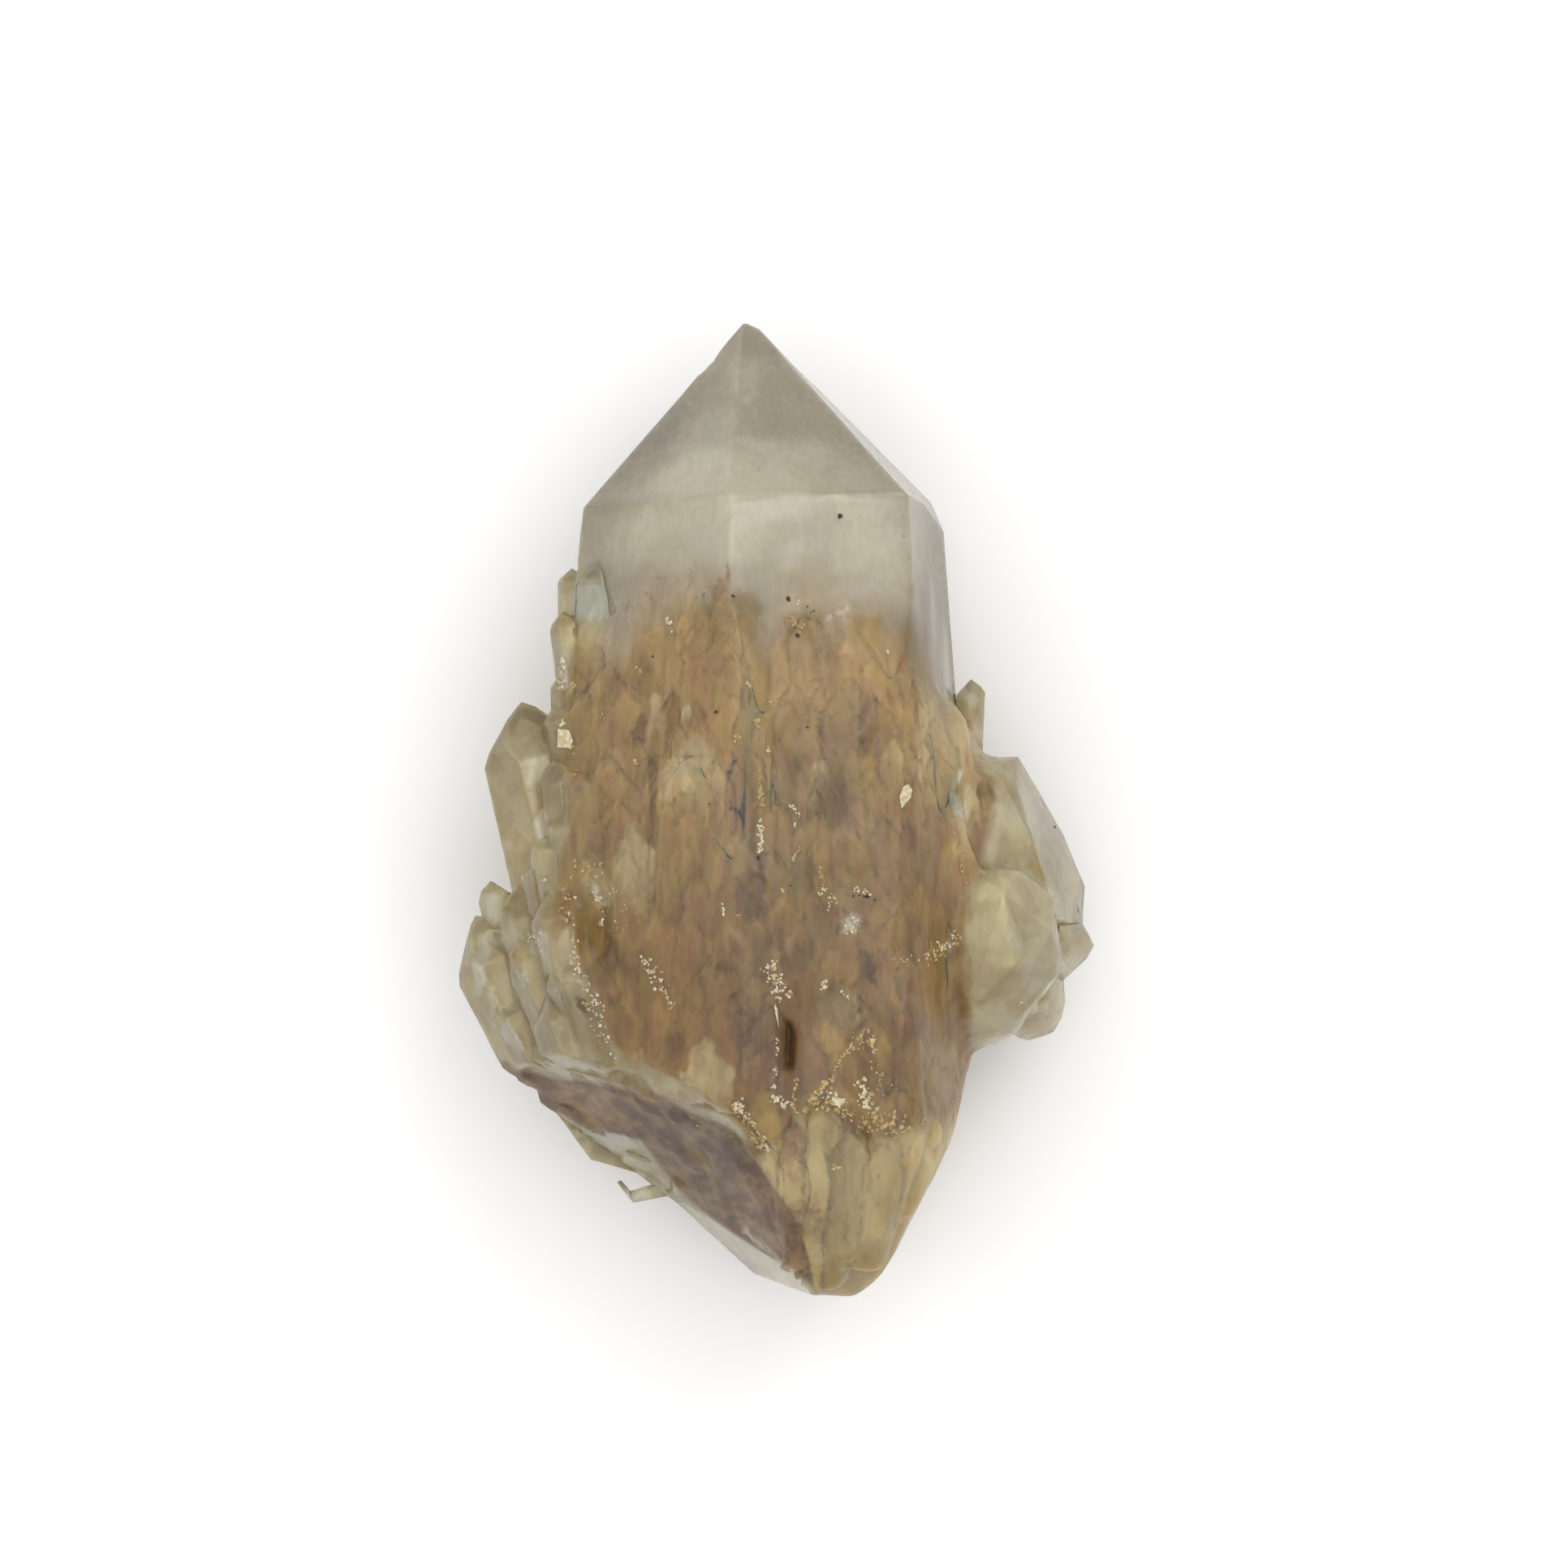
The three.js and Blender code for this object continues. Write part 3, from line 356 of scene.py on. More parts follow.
# Scratches, and painted glints drawn as short pale strokes
SCRATCHES_AND_GLINTS = [
    (894, 515, 912, 500, 2.5, 0.5), (905, 520, 926, 494, 2.5, 0.5), (931, 504, 932, 534, 2, 0.6),
    (851, 497, 855, 500, 3, 1), (921, 496, 925, 492, 3, 1), (822, 563, 846, 528, 4, 0.35),
    (1020, 763, 1033, 758, 2.5, 0.9), (1033, 758, 1045, 749, 2.5, 0.9), (1183, 951, 1180, 965, 2.5, 1),
    (920, 1515, 980, 1565, 4, 0.6), (1060, 545, 1062, 552, 3, 0.8), (1033, 632, 1036, 618, 3, 0.6),
    (899, 690, 903, 694, 3, 1), (851, 699, 854, 702, 3, 1), (845, 516, 850, 514, 3, 0.8),
    (655, 1144, 659, 1172, 4, 0.9), (668, 1148, 672, 1176, 4, 1), (664, 1160, 664, 1170, 3, 0.8),
    (734, 1092, 742, 1110, 5, 0.6), (690, 1186, 696, 1204, 4, 0.5), (640, 1196, 646, 1212, 4, 0.5),
    (1244, 1146, 1252, 1162, 4, 0.4), (694, 806, 692, 846, 5, 0.9), (1204, 845, 1206, 868, 5, 0.7),
]
# Painted shade in the creases between the crust's crystals and along the top of the broken face
CREASE_SHADE_LINES = [
    (806, 930, 804, 1040, 5, 0.7), (938, 1050, 937, 1125, 6, 0.8), (1058, 1240, 1085, 1170, 7, 0.6),
    (1032, 1118, 1032, 1150, 3, 0.7), (715, 862, 749, 817, 3, 0.5), (749, 817, 786, 864, 3, 0.5),
    (714, 972, 749, 927, 3, 0.5), (749, 927, 784, 972, 3, 0.5), (735, 1012, 761, 981, 3, 0.5),
    (761, 981, 788, 1012, 3, 0.5), (1122, 935, 1136, 911, 3, 0.4), (1136, 911, 1150, 935, 3, 0.4),
    (830, 850, 822, 925, 4, 0.6), (783, 890, 790, 940, 4, 0.5), (712, 1228, 730, 1255, 5, 0.6),
    (808, 932, 884, 932, 3, 0.35), (880, 940, 884, 1040, 4, 0.4), (955, 960, 958, 1060, 4, 0.4),
    (1010, 880, 1008, 1010, 4, 0.4), (1062, 850, 1060, 930, 4, 0.6), (1080, 860, 1082, 940, 3, 0.4),
    (905, 1190, 915, 1330, 5, 0.5), (955, 1190, 945, 1330, 5, 0.4), (865, 1200, 870, 1240, 5, 0.5),
    (958, 1260, 960, 1330, 3, 0.6), (1010, 1345, 1058, 1255, 3, 0.3), (1090, 1345, 1060, 1260, 4, 0.5),
    (1104, 1120, 1100, 1170, 4, 0.4), (1125, 830, 1129, 900, 3, 0.6), (945, 1200, 965, 1176, 3, 0.4),
    (994, 1431, 994, 1370, 3, 0.6), (994, 1370, 1014, 1347, 3, 0.6), (1014, 1347, 1034, 1372, 3, 0.6),
    (1034, 1372, 1034, 1431, 3, 0.6), (957, 1472, 957, 1400, 3, 0.6), (957, 1400, 975, 1376, 3, 0.6),
    (975, 1376, 990, 1400, 3, 0.6), (990, 1400, 990, 1472, 3, 0.6), (1034, 1400, 1047, 1378, 3, 0.5),
    (1047, 1378, 1068, 1396, 3, 0.5), (1068, 1393, 1072, 1470, 4, 0.4), (1036, 1430, 1048, 1560, 4, 0.25),
    (640, 1319, 750, 1336, 5, 0.6), (750, 1336, 830, 1352, 5, 0.7), (830, 1352, 905, 1388, 5, 0.7),
    (905, 1388, 960, 1466, 4, 0.5), (1186, 1110, 1183, 1200, 4, 0.3), (1183, 1200, 1196, 1290, 4, 0.3),
]
LINES = {"seams": TIP_SEAMS, "stains": TIP_STAINS, "scratches_and_glints": SCRATCHES_AND_GLINTS, "crease_shade": CREASE_SHADE_LINES}

# Grains: from column and row, to column and row, spread, number and size
# White clay grains, some of which are bright specks placed as painted glints
WHITE_GRAINS_AND_GLINTS = [
    (937, 1007, 937, 1048, 3, 30, 3), (892, 1112, 892, 1125, 2, 7, 2.5), (974, 990, 983, 1005, 3, 8, 3),
    (979, 1015, 979, 1019, 2, 3, 2.5), (1005, 1095, 1030, 1105, 4, 10, 3),
    (1021, 1105, 1021, 1120, 2, 6, 2.5), (1050, 1090, 1072, 1100, 5, 10, 3),
    (946, 1185, 968, 1225, 9, 36, 3.4), (697, 1100, 712, 1190, 6, 30, 3), (712, 1190, 735, 1230, 6, 18, 3),
    (735, 1230, 755, 1300, 7, 18, 3), (793, 1180, 812, 1210, 7, 22, 3.4),
    (815, 1210, 832, 1245, 3, 14, 2.2), (1143, 1178, 1180, 1152, 6, 30, 3),
    (1100, 1180, 1143, 1180, 5, 10, 2.5), (955, 1313, 959, 1323, 2, 6, 3), (949, 1335, 957, 1335, 2, 6, 3),
    (955, 1347, 970, 1358, 6, 16, 4), (1060, 1335, 1070, 1360, 7, 28, 4),
    (1023, 1345, 1038, 1360, 6, 16, 4), (1064, 1325, 1064, 1327, 2, 4, 3),
    (905, 1352, 925, 1380, 7, 24, 3.4), (938, 1390, 945, 1412, 4, 12, 3.5), (820, 765, 830, 775, 5, 8, 3.5),
    (1093, 802, 1093, 804, 2, 3, 3.5), (983, 744, 983, 746, 2, 3, 3), (947, 924, 947, 926, 2, 4, 3),
    (694, 888, 694, 892, 3, 5, 4), (735, 1103, 739, 1107, 4, 6, 4), (757, 1097, 757, 1100, 3, 4, 3),
    (743, 1133, 743, 1137, 4, 5, 3), (643, 1080, 643, 1083, 3, 4, 3), (672, 1082, 672, 1085, 3, 4, 3),
    (654, 1150, 660, 1170, 4, 10, 2.5), (666, 1148, 672, 1172, 4, 10, 2.5),
    (1257, 1233, 1257, 1235, 2, 3, 3), (1013, 1209, 1013, 1213, 3, 6, 4), (1038, 1222, 1047, 1230, 2, 4, 3),
    (694, 812, 694, 845, 4, 18, 4), (1048, 1133, 1050, 1146, 8, 14, 3), (730, 1060, 765, 1150, 16, 26, 2),
    (960, 1270, 956, 1300, 2, 6, 2.5),
]
OCHRE_GRAINS = [
    (937, 945, 937, 970, 1.5, 12, 2), (938, 968, 939, 992, 2.5, 20, 3), (925, 844, 925, 848, 3, 7, 3.5),
    (935, 886, 935, 894, 4, 9, 3.5), (950, 868, 950, 872, 3, 5, 3), (908, 908, 908, 912, 3, 5, 3),
    (790, 826, 790, 830, 4, 6, 3.5), (783, 936, 783, 940, 3, 5, 3.5), (707, 843, 707, 847, 4, 8, 4),
    (985, 1045, 975, 1060, 2, 12, 3), (1068, 1262, 1048, 1286, 3, 18, 3),
    (1048, 1286, 1035, 1302, 3, 14, 3), (1035, 1302, 1025, 1325, 3, 14, 3),
    (1025, 1325, 1008, 1340, 4, 16, 4), (1008, 1340, 990, 1365, 4, 20, 4),
    (982, 1322, 978, 1345, 2, 14, 2.5), (978, 1345, 979, 1370, 3, 16, 3),
    (1087, 1315, 1080, 1340, 2, 12, 3), (1080, 1340, 1062, 1352, 3, 12, 3),
    (1070, 1278, 1076, 1288, 5, 12, 4), (1062, 1378, 1100, 1378, 12, 44, 4),
    (1030, 1431, 1030, 1435, 3, 6, 4), (911, 1124, 911, 1127, 2, 3, 3), (963, 1092, 963, 1096, 2, 3, 3),
    (1010, 1070, 1017, 1096, 3, 16, 2.5), (925, 1390, 940, 1412, 7, 26, 4),
    (1095, 1395, 1140, 1380, 5, 18, 3), (1005, 1352, 1050, 1370, 8, 28, 4),
    (708, 1065, 692, 1120, 5, 16, 3), (725, 1235, 745, 1290, 6, 16, 3), (704, 905, 708, 960, 4, 10, 3),
    (735, 850, 745, 900, 5, 8, 2.5), (972, 765, 984, 774, 5, 14, 4), (945, 1180, 965, 1230, 9, 14, 3),
    (900, 1350, 930, 1385, 9, 18, 3), (1145, 1182, 1182, 1154, 7, 14, 3),
    (1180, 1020, 1186, 1090, 4, 12, 2.5), (860, 1385, 930, 1400, 4, 12, 2.5),
    (1060, 1275, 1100, 1340, 14, 22, 2.5), (800, 1175, 830, 1240, 8, 12, 2.5),
    (930, 840, 950, 930, 8, 14, 2),
]
DARK_SPECKS = [
    (904, 736, 904, 736, 0, 1, 4), (900, 761, 900, 761, 0, 1, 3), (805, 810, 805, 810, 0, 1, 4),
    (971, 740, 971, 740, 1, 3, 4), (1003, 754, 1003, 754, 0, 1, 3), (982, 785, 982, 785, 0, 1, 4),
    (883, 878, 883, 878, 1, 3, 3), (863, 800, 863, 800, 0, 1, 2), (995, 897, 995, 897, 0, 1, 3),
    (974, 1090, 974, 1090, 0, 1, 3), (1077, 1108, 1077, 1108, 0, 1, 3), (1300, 1019, 1300, 1019, 0, 1, 3),
    (1035, 638, 1035, 638, 1, 3, 4), (1113, 662, 1113, 662, 0, 2, 3), (995, 750, 1005, 758, 4, 3, 2),
    (875, 990, 875, 990, 0, 1, 3), (935, 1052, 935, 1062, 1, 5, 3), (1050, 1102, 1070, 1104, 2, 6, 3),
]

# Pale flakes that stick to the crust: the outline as columns and rows, and how far the middle stands out
FLAKES = [
    ([(1112, 969), (1118, 966), (1123, 973), (1121, 983), (1116, 988), (1110, 996), (1107, 982)], 0.3 * MM),
    ([(688, 898), (702, 900), (707, 912), (704, 922), (688, 921)], 0.3 * MM),
    ([(950, 1218), (955, 1218), (958, 1240), (960, 1264), (955, 1244)], 0.2 * MM),
    ([(1070, 1277), (1078, 1276), (1074, 1290)], 0.15 * MM),
    ([(1024, 1346), (1038, 1350), (1034, 1360), (1026, 1356)], 0.25 * MM),
]

# The outline of the large tip, from the left shoulder over the point to the right
TIP_OUTLINE = [(719, 700), (719, 627), (917, 397), (935, 405), (1147, 618), (1163, 655), (1182, 860)]
# Ridges of the tip that are rounded off, from column and row to column and row
SOFT_RIDGES = [((925, 440), (955, 600)), ((896, 640), (896, 740))]
# Width of the painted shade along the tip's outline
RIM_SHADE_WIDTH = 85  # in pixels
MARK_SOFTNESS = 0.55  # of a mark's edge, as a share of its size
POINTED_SOFTNESS = 0.28
POINT_SLOPE = 0.9  # of a pointed mark's top edges
MARK_WANDER = 7  # by which a mark's outline wanders, in pixels
LINE_WANDER = 4  # by which a thin line wanders, in pixels
LINE_BAND = 4  # beside a thin line, in which the surface has small faces
SPOT_STEP = 4  # between the places at which the thin lines are looked up


def row_of(line, columns):
    """The row of a line at each column."""
    across, down = zip(*line)
    return np.interp(columns, across, down)


def column_of(line, rows):
    """The column of a line at each row."""
    across, down = zip(*line)
    return np.interp(rows, down, across)


def distance_from(here, start, end):
    """The distance of each column and row from a line."""
    start = np.array(start, float)
    way = np.array(end, float) - start
    along = np.clip((here - start) @ way / max(way @ way, 1), 0, 1)
    return np.hypot(*(here - start - along[:, None] * way).T)


# The body of the cluster

WELD = 2e-6  # distance at which corners are joined
FLAT_ANGLE = math.radians(0.4)
# The axis round which the crust's small crystals are drawn, and how far from it
AXIS_X = -1 * MM
AXIS_HEIGHT = 19 * MM
CRUST_RADIUS = 26 * MM
FRONT_HEIGHT = 23 * MM  # above which the crust faces the viewer
CRUST_TOP = 31 * MM
CRUST_END = -42 * MM
LARGE_SHINGLE = 5 * MM
SMALL_SHINGLE = 2 * MM
SHARP_ANGLE = math.radians(48)
# The front is evened over a grid of cells, out to this far from the origin
IRON_CELL = 0.6 * MM
IRON_REACH = np.array([45 * MM, 66 * MM])
EVENED_DEPTH = 14 * MM  # below the front, down to which a place is evened
KEPT_DEPTH = 20 * MM  # below the front, from which on a place stays
# Heights between which the softening sets in
UPPER_SIDE = (15 * MM, 18 * MM)
CLEFT_SIDE = (8 * MM, 11 * MM)
# How many times each part is softened
CLEFT_ROUNDS = 300
EVEN_ROUNDS = (70, 30)
CRUST_ROUNDS = 14
RIDGE_ROUNDS = 50
CAVITY_ROUNDS = 24
# The longest edges on the back, on the upper side, on the crust's front and beside a thin line
MIDDLE_HEIGHT = 16 * MM
BACK_EDGE = 3.2 * MM
UPPER_EDGE = 1.6 * MM
CRUST_EDGE = 1.1 * MM
LINE_EDGE = 0.55 * MM
# By how much the surface stands out
LARGE_RELIEF = 0.2 * MM
SMALL_RELIEF = 0.08 * MM
GRAIN_RELIEF = 0.05 * MM
PALE_RELIEF = 0.04 * MM
LUMP_RELIEF = 0.6 * MM
STEPPED_SHARE = 0.4  # of a mark on the crust that keeps to the outlines of small crystals


def coordinates(mesh):
    values = np.empty(3 * len(mesh.vertices))
    mesh.vertices.foreach_get("co", values)
    return values.reshape(-1, 3)


def place_vertices(mesh, points):
    mesh.vertices.foreach_set("co", points.ravel())
    mesh.update()


def normals(mesh):
    values = np.empty(3 * len(mesh.vertices))
    mesh.vertex_normals.foreach_get("vector", values)
    return values.reshape(-1, 3)


def body_form():
    """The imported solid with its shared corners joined."""
    form = bmesh.new()
    form.from_mesh(cad_node.data)
    bmesh.ops.remove_doubles(form, verts=form.verts, dist=WELD)
    bmesh.ops.dissolve_limit(form, angle_limit=FLAT_ANGLE, verts=form.verts, edges=form.edges)
    bmesh.ops.triangulate(form, faces=form.faces, quad_method="SHORT_EDGE", ngon_method="BEAUTY")
    return form


def number_faces(form, layer, joins):
    """Gives the faces that hang together one number, and returns how many there are."""
    for face in form.faces:
        face[layer] = 0
    count = 0
    for start in form.faces:
        if start[layer]:
            continue
        count += 1
        start[layer] = count
        waiting = [start]
        while waiting:
            face = waiting.pop()
            for edge in face.edges:
                if len(edge.link_faces) != 2 or not joins(edge.calc_face_angle_signed(0)):
                    continue
                other = edge.link_faces[0] if edge.link_faces[1] == face else edge.link_faces[1]
                if not other[layer]:
                    other[layer] = count
                    waiting.append(other)
    return count


def is_within_crystal(angle):
    return angle > math.radians(-4)


def is_within_facet(angle):
    return abs(angle) < math.radians(2)


def even_out(form):
    """Turns the edges inside flat faces so that their triangles are as wide as they can be."""
    flat = [e for e in form.edges if len(e.link_faces) == 2 and e.calc_face_angle(9) < FLAT_ANGLE]
    bmesh.ops.beautify_fill(form, faces=form.faces, edges=flat, method="ANGLE")


def refine(form):
    """Splits edges until none is longer than the limit at its middle."""
    near_line = line_places()
    for _ in range(12):
        edges = list(form.edges)
        ends = np.array([(*e.verts[0].co, *e.verts[1].co) for e in edges]).reshape(-1, 2, 3)
        lengths = np.linalg.norm(ends[:, 0] - ends[:, 1], axis=1)
        too_long = np.flatnonzero(lengths > edge_limits(ends.mean(axis=1), near_line))
        if not len(too_long):
            break
        bmesh.ops.subdivide_edges(form, edges=[edges[number] for number in too_long], cuts=1)
        many = [f for f in form.faces if len(f.verts) > 3]
        bmesh.ops.triangulate(form, faces=many, quad_method="SHORT_EDGE", ngon_method="BEAUTY")
        even_out(form)


def line_places():
    """Whether a thin line runs by each spot of the photograph, at every few pixels."""
    spots = np.arange(0, PHOTO_SIDE, SPOT_STEP, dtype=float)
    columns, rows = np.meshgrid(spots, spots)
    here = np.stack([columns.ravel(), rows.ravel()], axis=1)
    near = np.zeros(len(here), bool)
    for lines in LINES.values():
        for column, row, end_column, end_row, half_width, _ in lines:
            near |= distance_from(here, (column, row), (end_column, end_row)) < half_width + LINE_BAND
    return near.reshape(columns.shape)


def edge_limits(places, near_line):
    """The longest edge wanted at each place."""
    heights = places[:, 2]
    limits = np.where(heights > MIDDLE_HEIGHT, UPPER_EDGE, BACK_EDGE)
    limits[(heights > FRONT_HEIGHT) & (places[:, 1] < CRUST_TOP)] = CRUST_EDGE
    columns, rows = pixels_of(places)
    near = near_line[(rows / SPOT_STEP).astype(int), (columns / SPOT_STEP).astype(int)]
    limits[near & (heights > MIDDLE_HEIGHT)] = LINE_EDGE
    return limits


def zones(points):
    """How much of the crust every point is in, from 0 to 1, and the same of each coloured zone, by name."""
    columns, rows = pixels_of(points)
    wobble = 9 * rough_field(points, 3 * MM, 3)
    below_start = rows - row_of(CRUST_START, columns)
    crust = smooth_step(-14, 22, below_start + wobble)
    below_tint = rows - row_of(TINT_START, columns) + 30 * rough_field(points, (4 * MM, 7 * MM, 4 * MM), 7)
    tint = smooth_step(-60, 70, below_tint)
    left = smooth_step(-8, 8, column_of(LEFT_PALE_END, rows) - columns - 0.5 * wobble)
    right = smooth_step(-8, 8, columns - column_of(RIGHT_PALE_START, rows) + 0.5 * wobble)
    broken = smooth_step(-4, 5, rows + 0.3 * wobble - row_of(BREAK_START, columns))
    broken = broken * smooth_step(1030, 1000, columns)
    foot_edge = wobble + 30 * smooth_step(34 * MM, 24 * MM, points[:, 2]) * rough_field(points, 7 * MM, 8)
    foot = smooth_step(-6, 8, rows + foot_edge - row_of(FOOT_START, columns)) * (1 - broken)
    foot = foot * smooth_step(880, 930, columns)
    splinter = smooth_step(-5, 5, rows - row_of(SIDE_START, columns)) * smooth_step(684, 690, columns)
    pale = np.maximum(left, right) * (1 - broken) * smooth_step(690, 715, rows)
    pale = np.maximum(pale, splinter)
    broken = broken * (1 - splinter)
    upper = smooth_step(190, 30, below_start) * (1 - pale)
    low = smooth_step(1020, 1300, rows)
    shown = {"tint": tint, "pale": pale, "broken": broken, "foot": foot, "upper": upper, "low": low}
    return crust, shown


def marked(points, marks, pointed):
    """How strongly the marks of one list, round or pointed like a crystal, cover each point."""
    columns, rows = pixels_of(points)
    columns = columns + MARK_WANDER * rough_field(points, 1.6 * MM, 71)
    rows = rows + 2 * MARK_WANDER * rough_field(points, 2.4 * MM, 72)
    total = np.zeros(len(points))
    for column, row, half_width, half_height, *heading, strength in marks:
        turn = math.radians(sum(heading))
        across = (columns - column) * math.cos(turn) + (rows - row) * math.sin(turn)
        down = (rows - row) * math.cos(turn) - (columns - column) * math.sin(turn)
        across = np.abs(across) / half_width
        if pointed:
            below_tip = (down + half_height) / half_width
            distance = np.maximum(across + np.maximum(0, 1 - POINT_SLOPE * below_tip), down / half_height)
        else:
            distance = np.hypot(across, down / half_height)
        softness = POINTED_SOFTNESS if pointed else MARK_SOFTNESS
        share = strength * smooth_step(1 + softness, 1 - softness, distance)
        if pointed:
            share = share * (1 - 0.75 * smooth_step(-0.4, 1, down / half_height))
        total = np.maximum(total, share)
    return total


def shingles(points, width, seed):
    """Small pointed crystals that overlap like shingles, drawn round the crust.

    For each point: its crystal's tone from -1 to 1, how far below the crystal's tip and how far inside its
    outline the point lies as shares of the width, how far the crystal stands out there, from 0 to 1, and the
    middle of what shows of the crystal.
    """
    wander = 0.1 * width
    across = np.arctan2(points[:, 0] - AXIS_X, points[:, 2] - AXIS_HEIGHT) * CRUST_RADIUS
    across = across + wander * field(points, width, seed)
    along = points[:, 1] + wander * field(points, width, seed + 1)
    order = np.argsort(along)
    sorted_along = along[order]
    chance = np.random.RandomState(seed)
    tip_of = np.full(len(points), np.inf)
    owner = np.zeros(len(points), np.int64)
    tones = [0.0]
    below_tip = np.ones(len(points))
    inside = np.zeros(len(points))
    stands = np.zeros(len(points))
    reach = math.pi * CRUST_RADIUS
    for tip in np.arange(CRUST_TOP, CRUST_END, -0.9 * width):
        for start in np.arange(-reach, reach, 0.85 * width):
            tip_along = tip + 0.9 * width * chance.uniform(-0.5, 0.5)
            tip_across = start + width * chance.uniform(-0.4, 0.4)
            wide = width * chance.uniform(0.55, 1.35)
            length = wide * chance.uniform(2.5, 5)
            lean = chance.uniform(-0.06, 0.06)
            tones.append(chance.uniform(-1, 1))
            low, high = np.searchsorted(sorted_along, (tip_along - length, tip_along))
            near = order[low:high]
            below = tip_along - along[near]
            offset = np.abs(across[near] - tip_across - lean * below)
            half = 0.5 * wide * np.minimum(1, (below + 0.1 * wide) / (0.62 * wide))
            hit = (offset < half) & (tip_along < tip_of[near])
            chosen = near[hit]
            tip_of[chosen] = tip_along
            owner[chosen] = len(tones) - 1
            below_tip[chosen] = below[hit] / wide
            inside[chosen] = (half[hit] - offset[hit]) / (0.5 * wide)
            stands[chosen] = 1 - below[hit] / length
    counts = np.maximum(np.bincount(owner), 1)
    middles = np.stack([np.bincount(owner, points[:, axis]) / counts for axis in range(3)], axis=1)[owner]
    middles = np.where(owner[:, None] > 0, middles, points)
    return {
        "tone": np.array(tones)[owner],
        "below": below_tip,
        "inside": inside,
        "stands": stands,
        "middle": middles,
    }


def neighbours(mesh):
    pairs = np.empty(2 * len(mesh.edges), np.int64)
    mesh.edges.foreach_get("vertices", pairs)
    pairs = pairs.reshape(-1, 2)
    counts = np.bincount(pairs.ravel(), minlength=len(mesh.vertices)).astype(float)
    return pairs, counts


def neighbour_mean(values, pairs, counts):
    """The mean of each vertex's neighbours' values."""
    total = np.empty_like(values)
    for axis in range(values.shape[1]):
        total[:, axis] = np.bincount(pairs[:, 0], values[pairs[:, 1], axis], len(values))
        total[:, axis] += np.bincount(pairs[:, 1], values[pairs[:, 0], axis], len(values))
    return total / counts[:, None]


def soften(mesh, weight, rounds):
    """Rounds off the corners of the mesh, by a weight for each vertex."""
    points = coordinates(mesh)
    pairs, counts = neighbours(mesh)
    pairs = pairs[weight[pairs].max(axis=1) > 0]
    for _ in range(rounds):
        points += 0.5 * weight[:, None] * (neighbour_mean(points, pairs, counts) - points)
    place_vertices(mesh, points)


def blurred(grid, reach):
    """A grid evened out over some cells each way, three times."""
    for _ in range(3):
        for axis in (0, 1):
            grid = sum(np.roll(grid, step, axis) for step in range(-reach, reach + 1)) / (2 * reach + 1)
    return grid


def iron(mesh, share):
    """Evens out the height of the front, by a share for each vertex, and closes the clefts there."""
    points = coordinates(mesh)
    heights = points[:, 2]
    size = (2 * IRON_REACH / IRON_CELL).astype(int)
    place = (points[:, :2] + IRON_REACH) / IRON_CELL
    cell = np.floor(place).astype(int)
    numbers = cell[:, 0] * size[1] + cell[:, 1]
    top = np.zeros(size.prod())
    np.maximum.at(top, numbers, heights)
    shown = heights > top[numbers] - 1 * MM
    sums = np.bincount(numbers[shown], heights[shown], size.prod()).reshape(size)
    counts = np.bincount(numbers[shown], minlength=size.prod()).reshape(size)
    evened = blurred(sums, 2) / np.maximum(blurred(counts.astype(float), 2), 1e-6)
    part = place - 0.5 - np.floor(place - 0.5)
    low = np.floor(place - 0.5).astype(int)
    target = np.zeros(len(points))
    for step_x in (0, 1):
        for step_y in (0, 1):
            weight = np.abs(1 - step_x - part[:, 0]) * np.abs(1 - step_y - part[:, 1])
            target += weight * evened[low[:, 0] + step_x, low[:, 1] + step_y]
    near_top = smooth_step(KEPT_DEPTH, EVENED_DEPTH, target - heights)
    points[:, 2] += share * near_top * (target - heights)
    place_vertices(mesh, points)


def cavity(mesh):
    """How far each vertex stands out from its surroundings, in metres, less than 0 in a hollow."""
    points = coordinates(mesh)
    evened = points.copy()
    pairs, counts = neighbours(mesh)
    for _ in range(CAVITY_ROUNDS):
        evened += 0.7 * (neighbour_mean(evened, pairs, counts) - evened)
    return ((points - evened) * normals(mesh)).sum(axis=1)


def surface_tree(mesh):
    return BVHTree.FromPolygons([v.co for v in mesh.vertices], [p.vertices for p in mesh.polygons])


def thinness(mesh):
    """How thin the cluster is under each vertex, from 0 to 1, along the height."""
    tree = surface_tree(mesh)
    values = np.zeros(len(mesh.vertices))
    for vertex in mesh.vertices:
        way = Vector((0, 0, -1 if vertex.normal.z > 0 else 1))
        _, _, _, depth = tree.ray_cast(vertex.co - 0.05 * MM * vertex.normal, way)
        if depth is not None:
            values[vertex.index] = depth
    return smooth_step(5 * MM, 0.5 * MM, values)


def rim_shade(points):
    """The painted shade along the tip's outline: how near each point of the tip lies to the outline, from 0
    to 1.
    """
    here = np.stack(pixels_of(points), axis=1)
    nearest = np.full(len(points), np.inf)
    for start, end in zip(TIP_OUTLINE, TIP_OUTLINE[1:]):
        nearest = np.minimum(nearest, distance_from(here, start, end))
    wander = 12 * rough_field(points, 6 * MM, 33)
    return smooth_step(RIM_SHADE_WIDTH, 0, nearest + wander) * smooth_step(900, 760, here[:, 1])


def lined(points, lines):
    """How strongly the thin lines of one list cover each point."""
    here = np.stack(pixels_of(points), axis=1)
    here[:, 0] += LINE_WANDER * rough_field(points, 2 * MM, 91)
    here[:, 1] += LINE_WANDER * rough_field(points, 2 * MM, 92)
    total = np.zeros(len(points))
    for column, row, end_column, end_row, half_width, strength in lines:
        distance = distance_from(here, (column, row), (end_column, end_row))
        total = np.maximum(total, strength * smooth_step(1.3 * half_width + 1, 0.2 * half_width, distance))
    return total


def set_values(mesh, name, values, domain="POINT"):
    mesh.attributes.new(name, "FLOAT", domain).data.foreach_set("value", values.astype(np.float32))


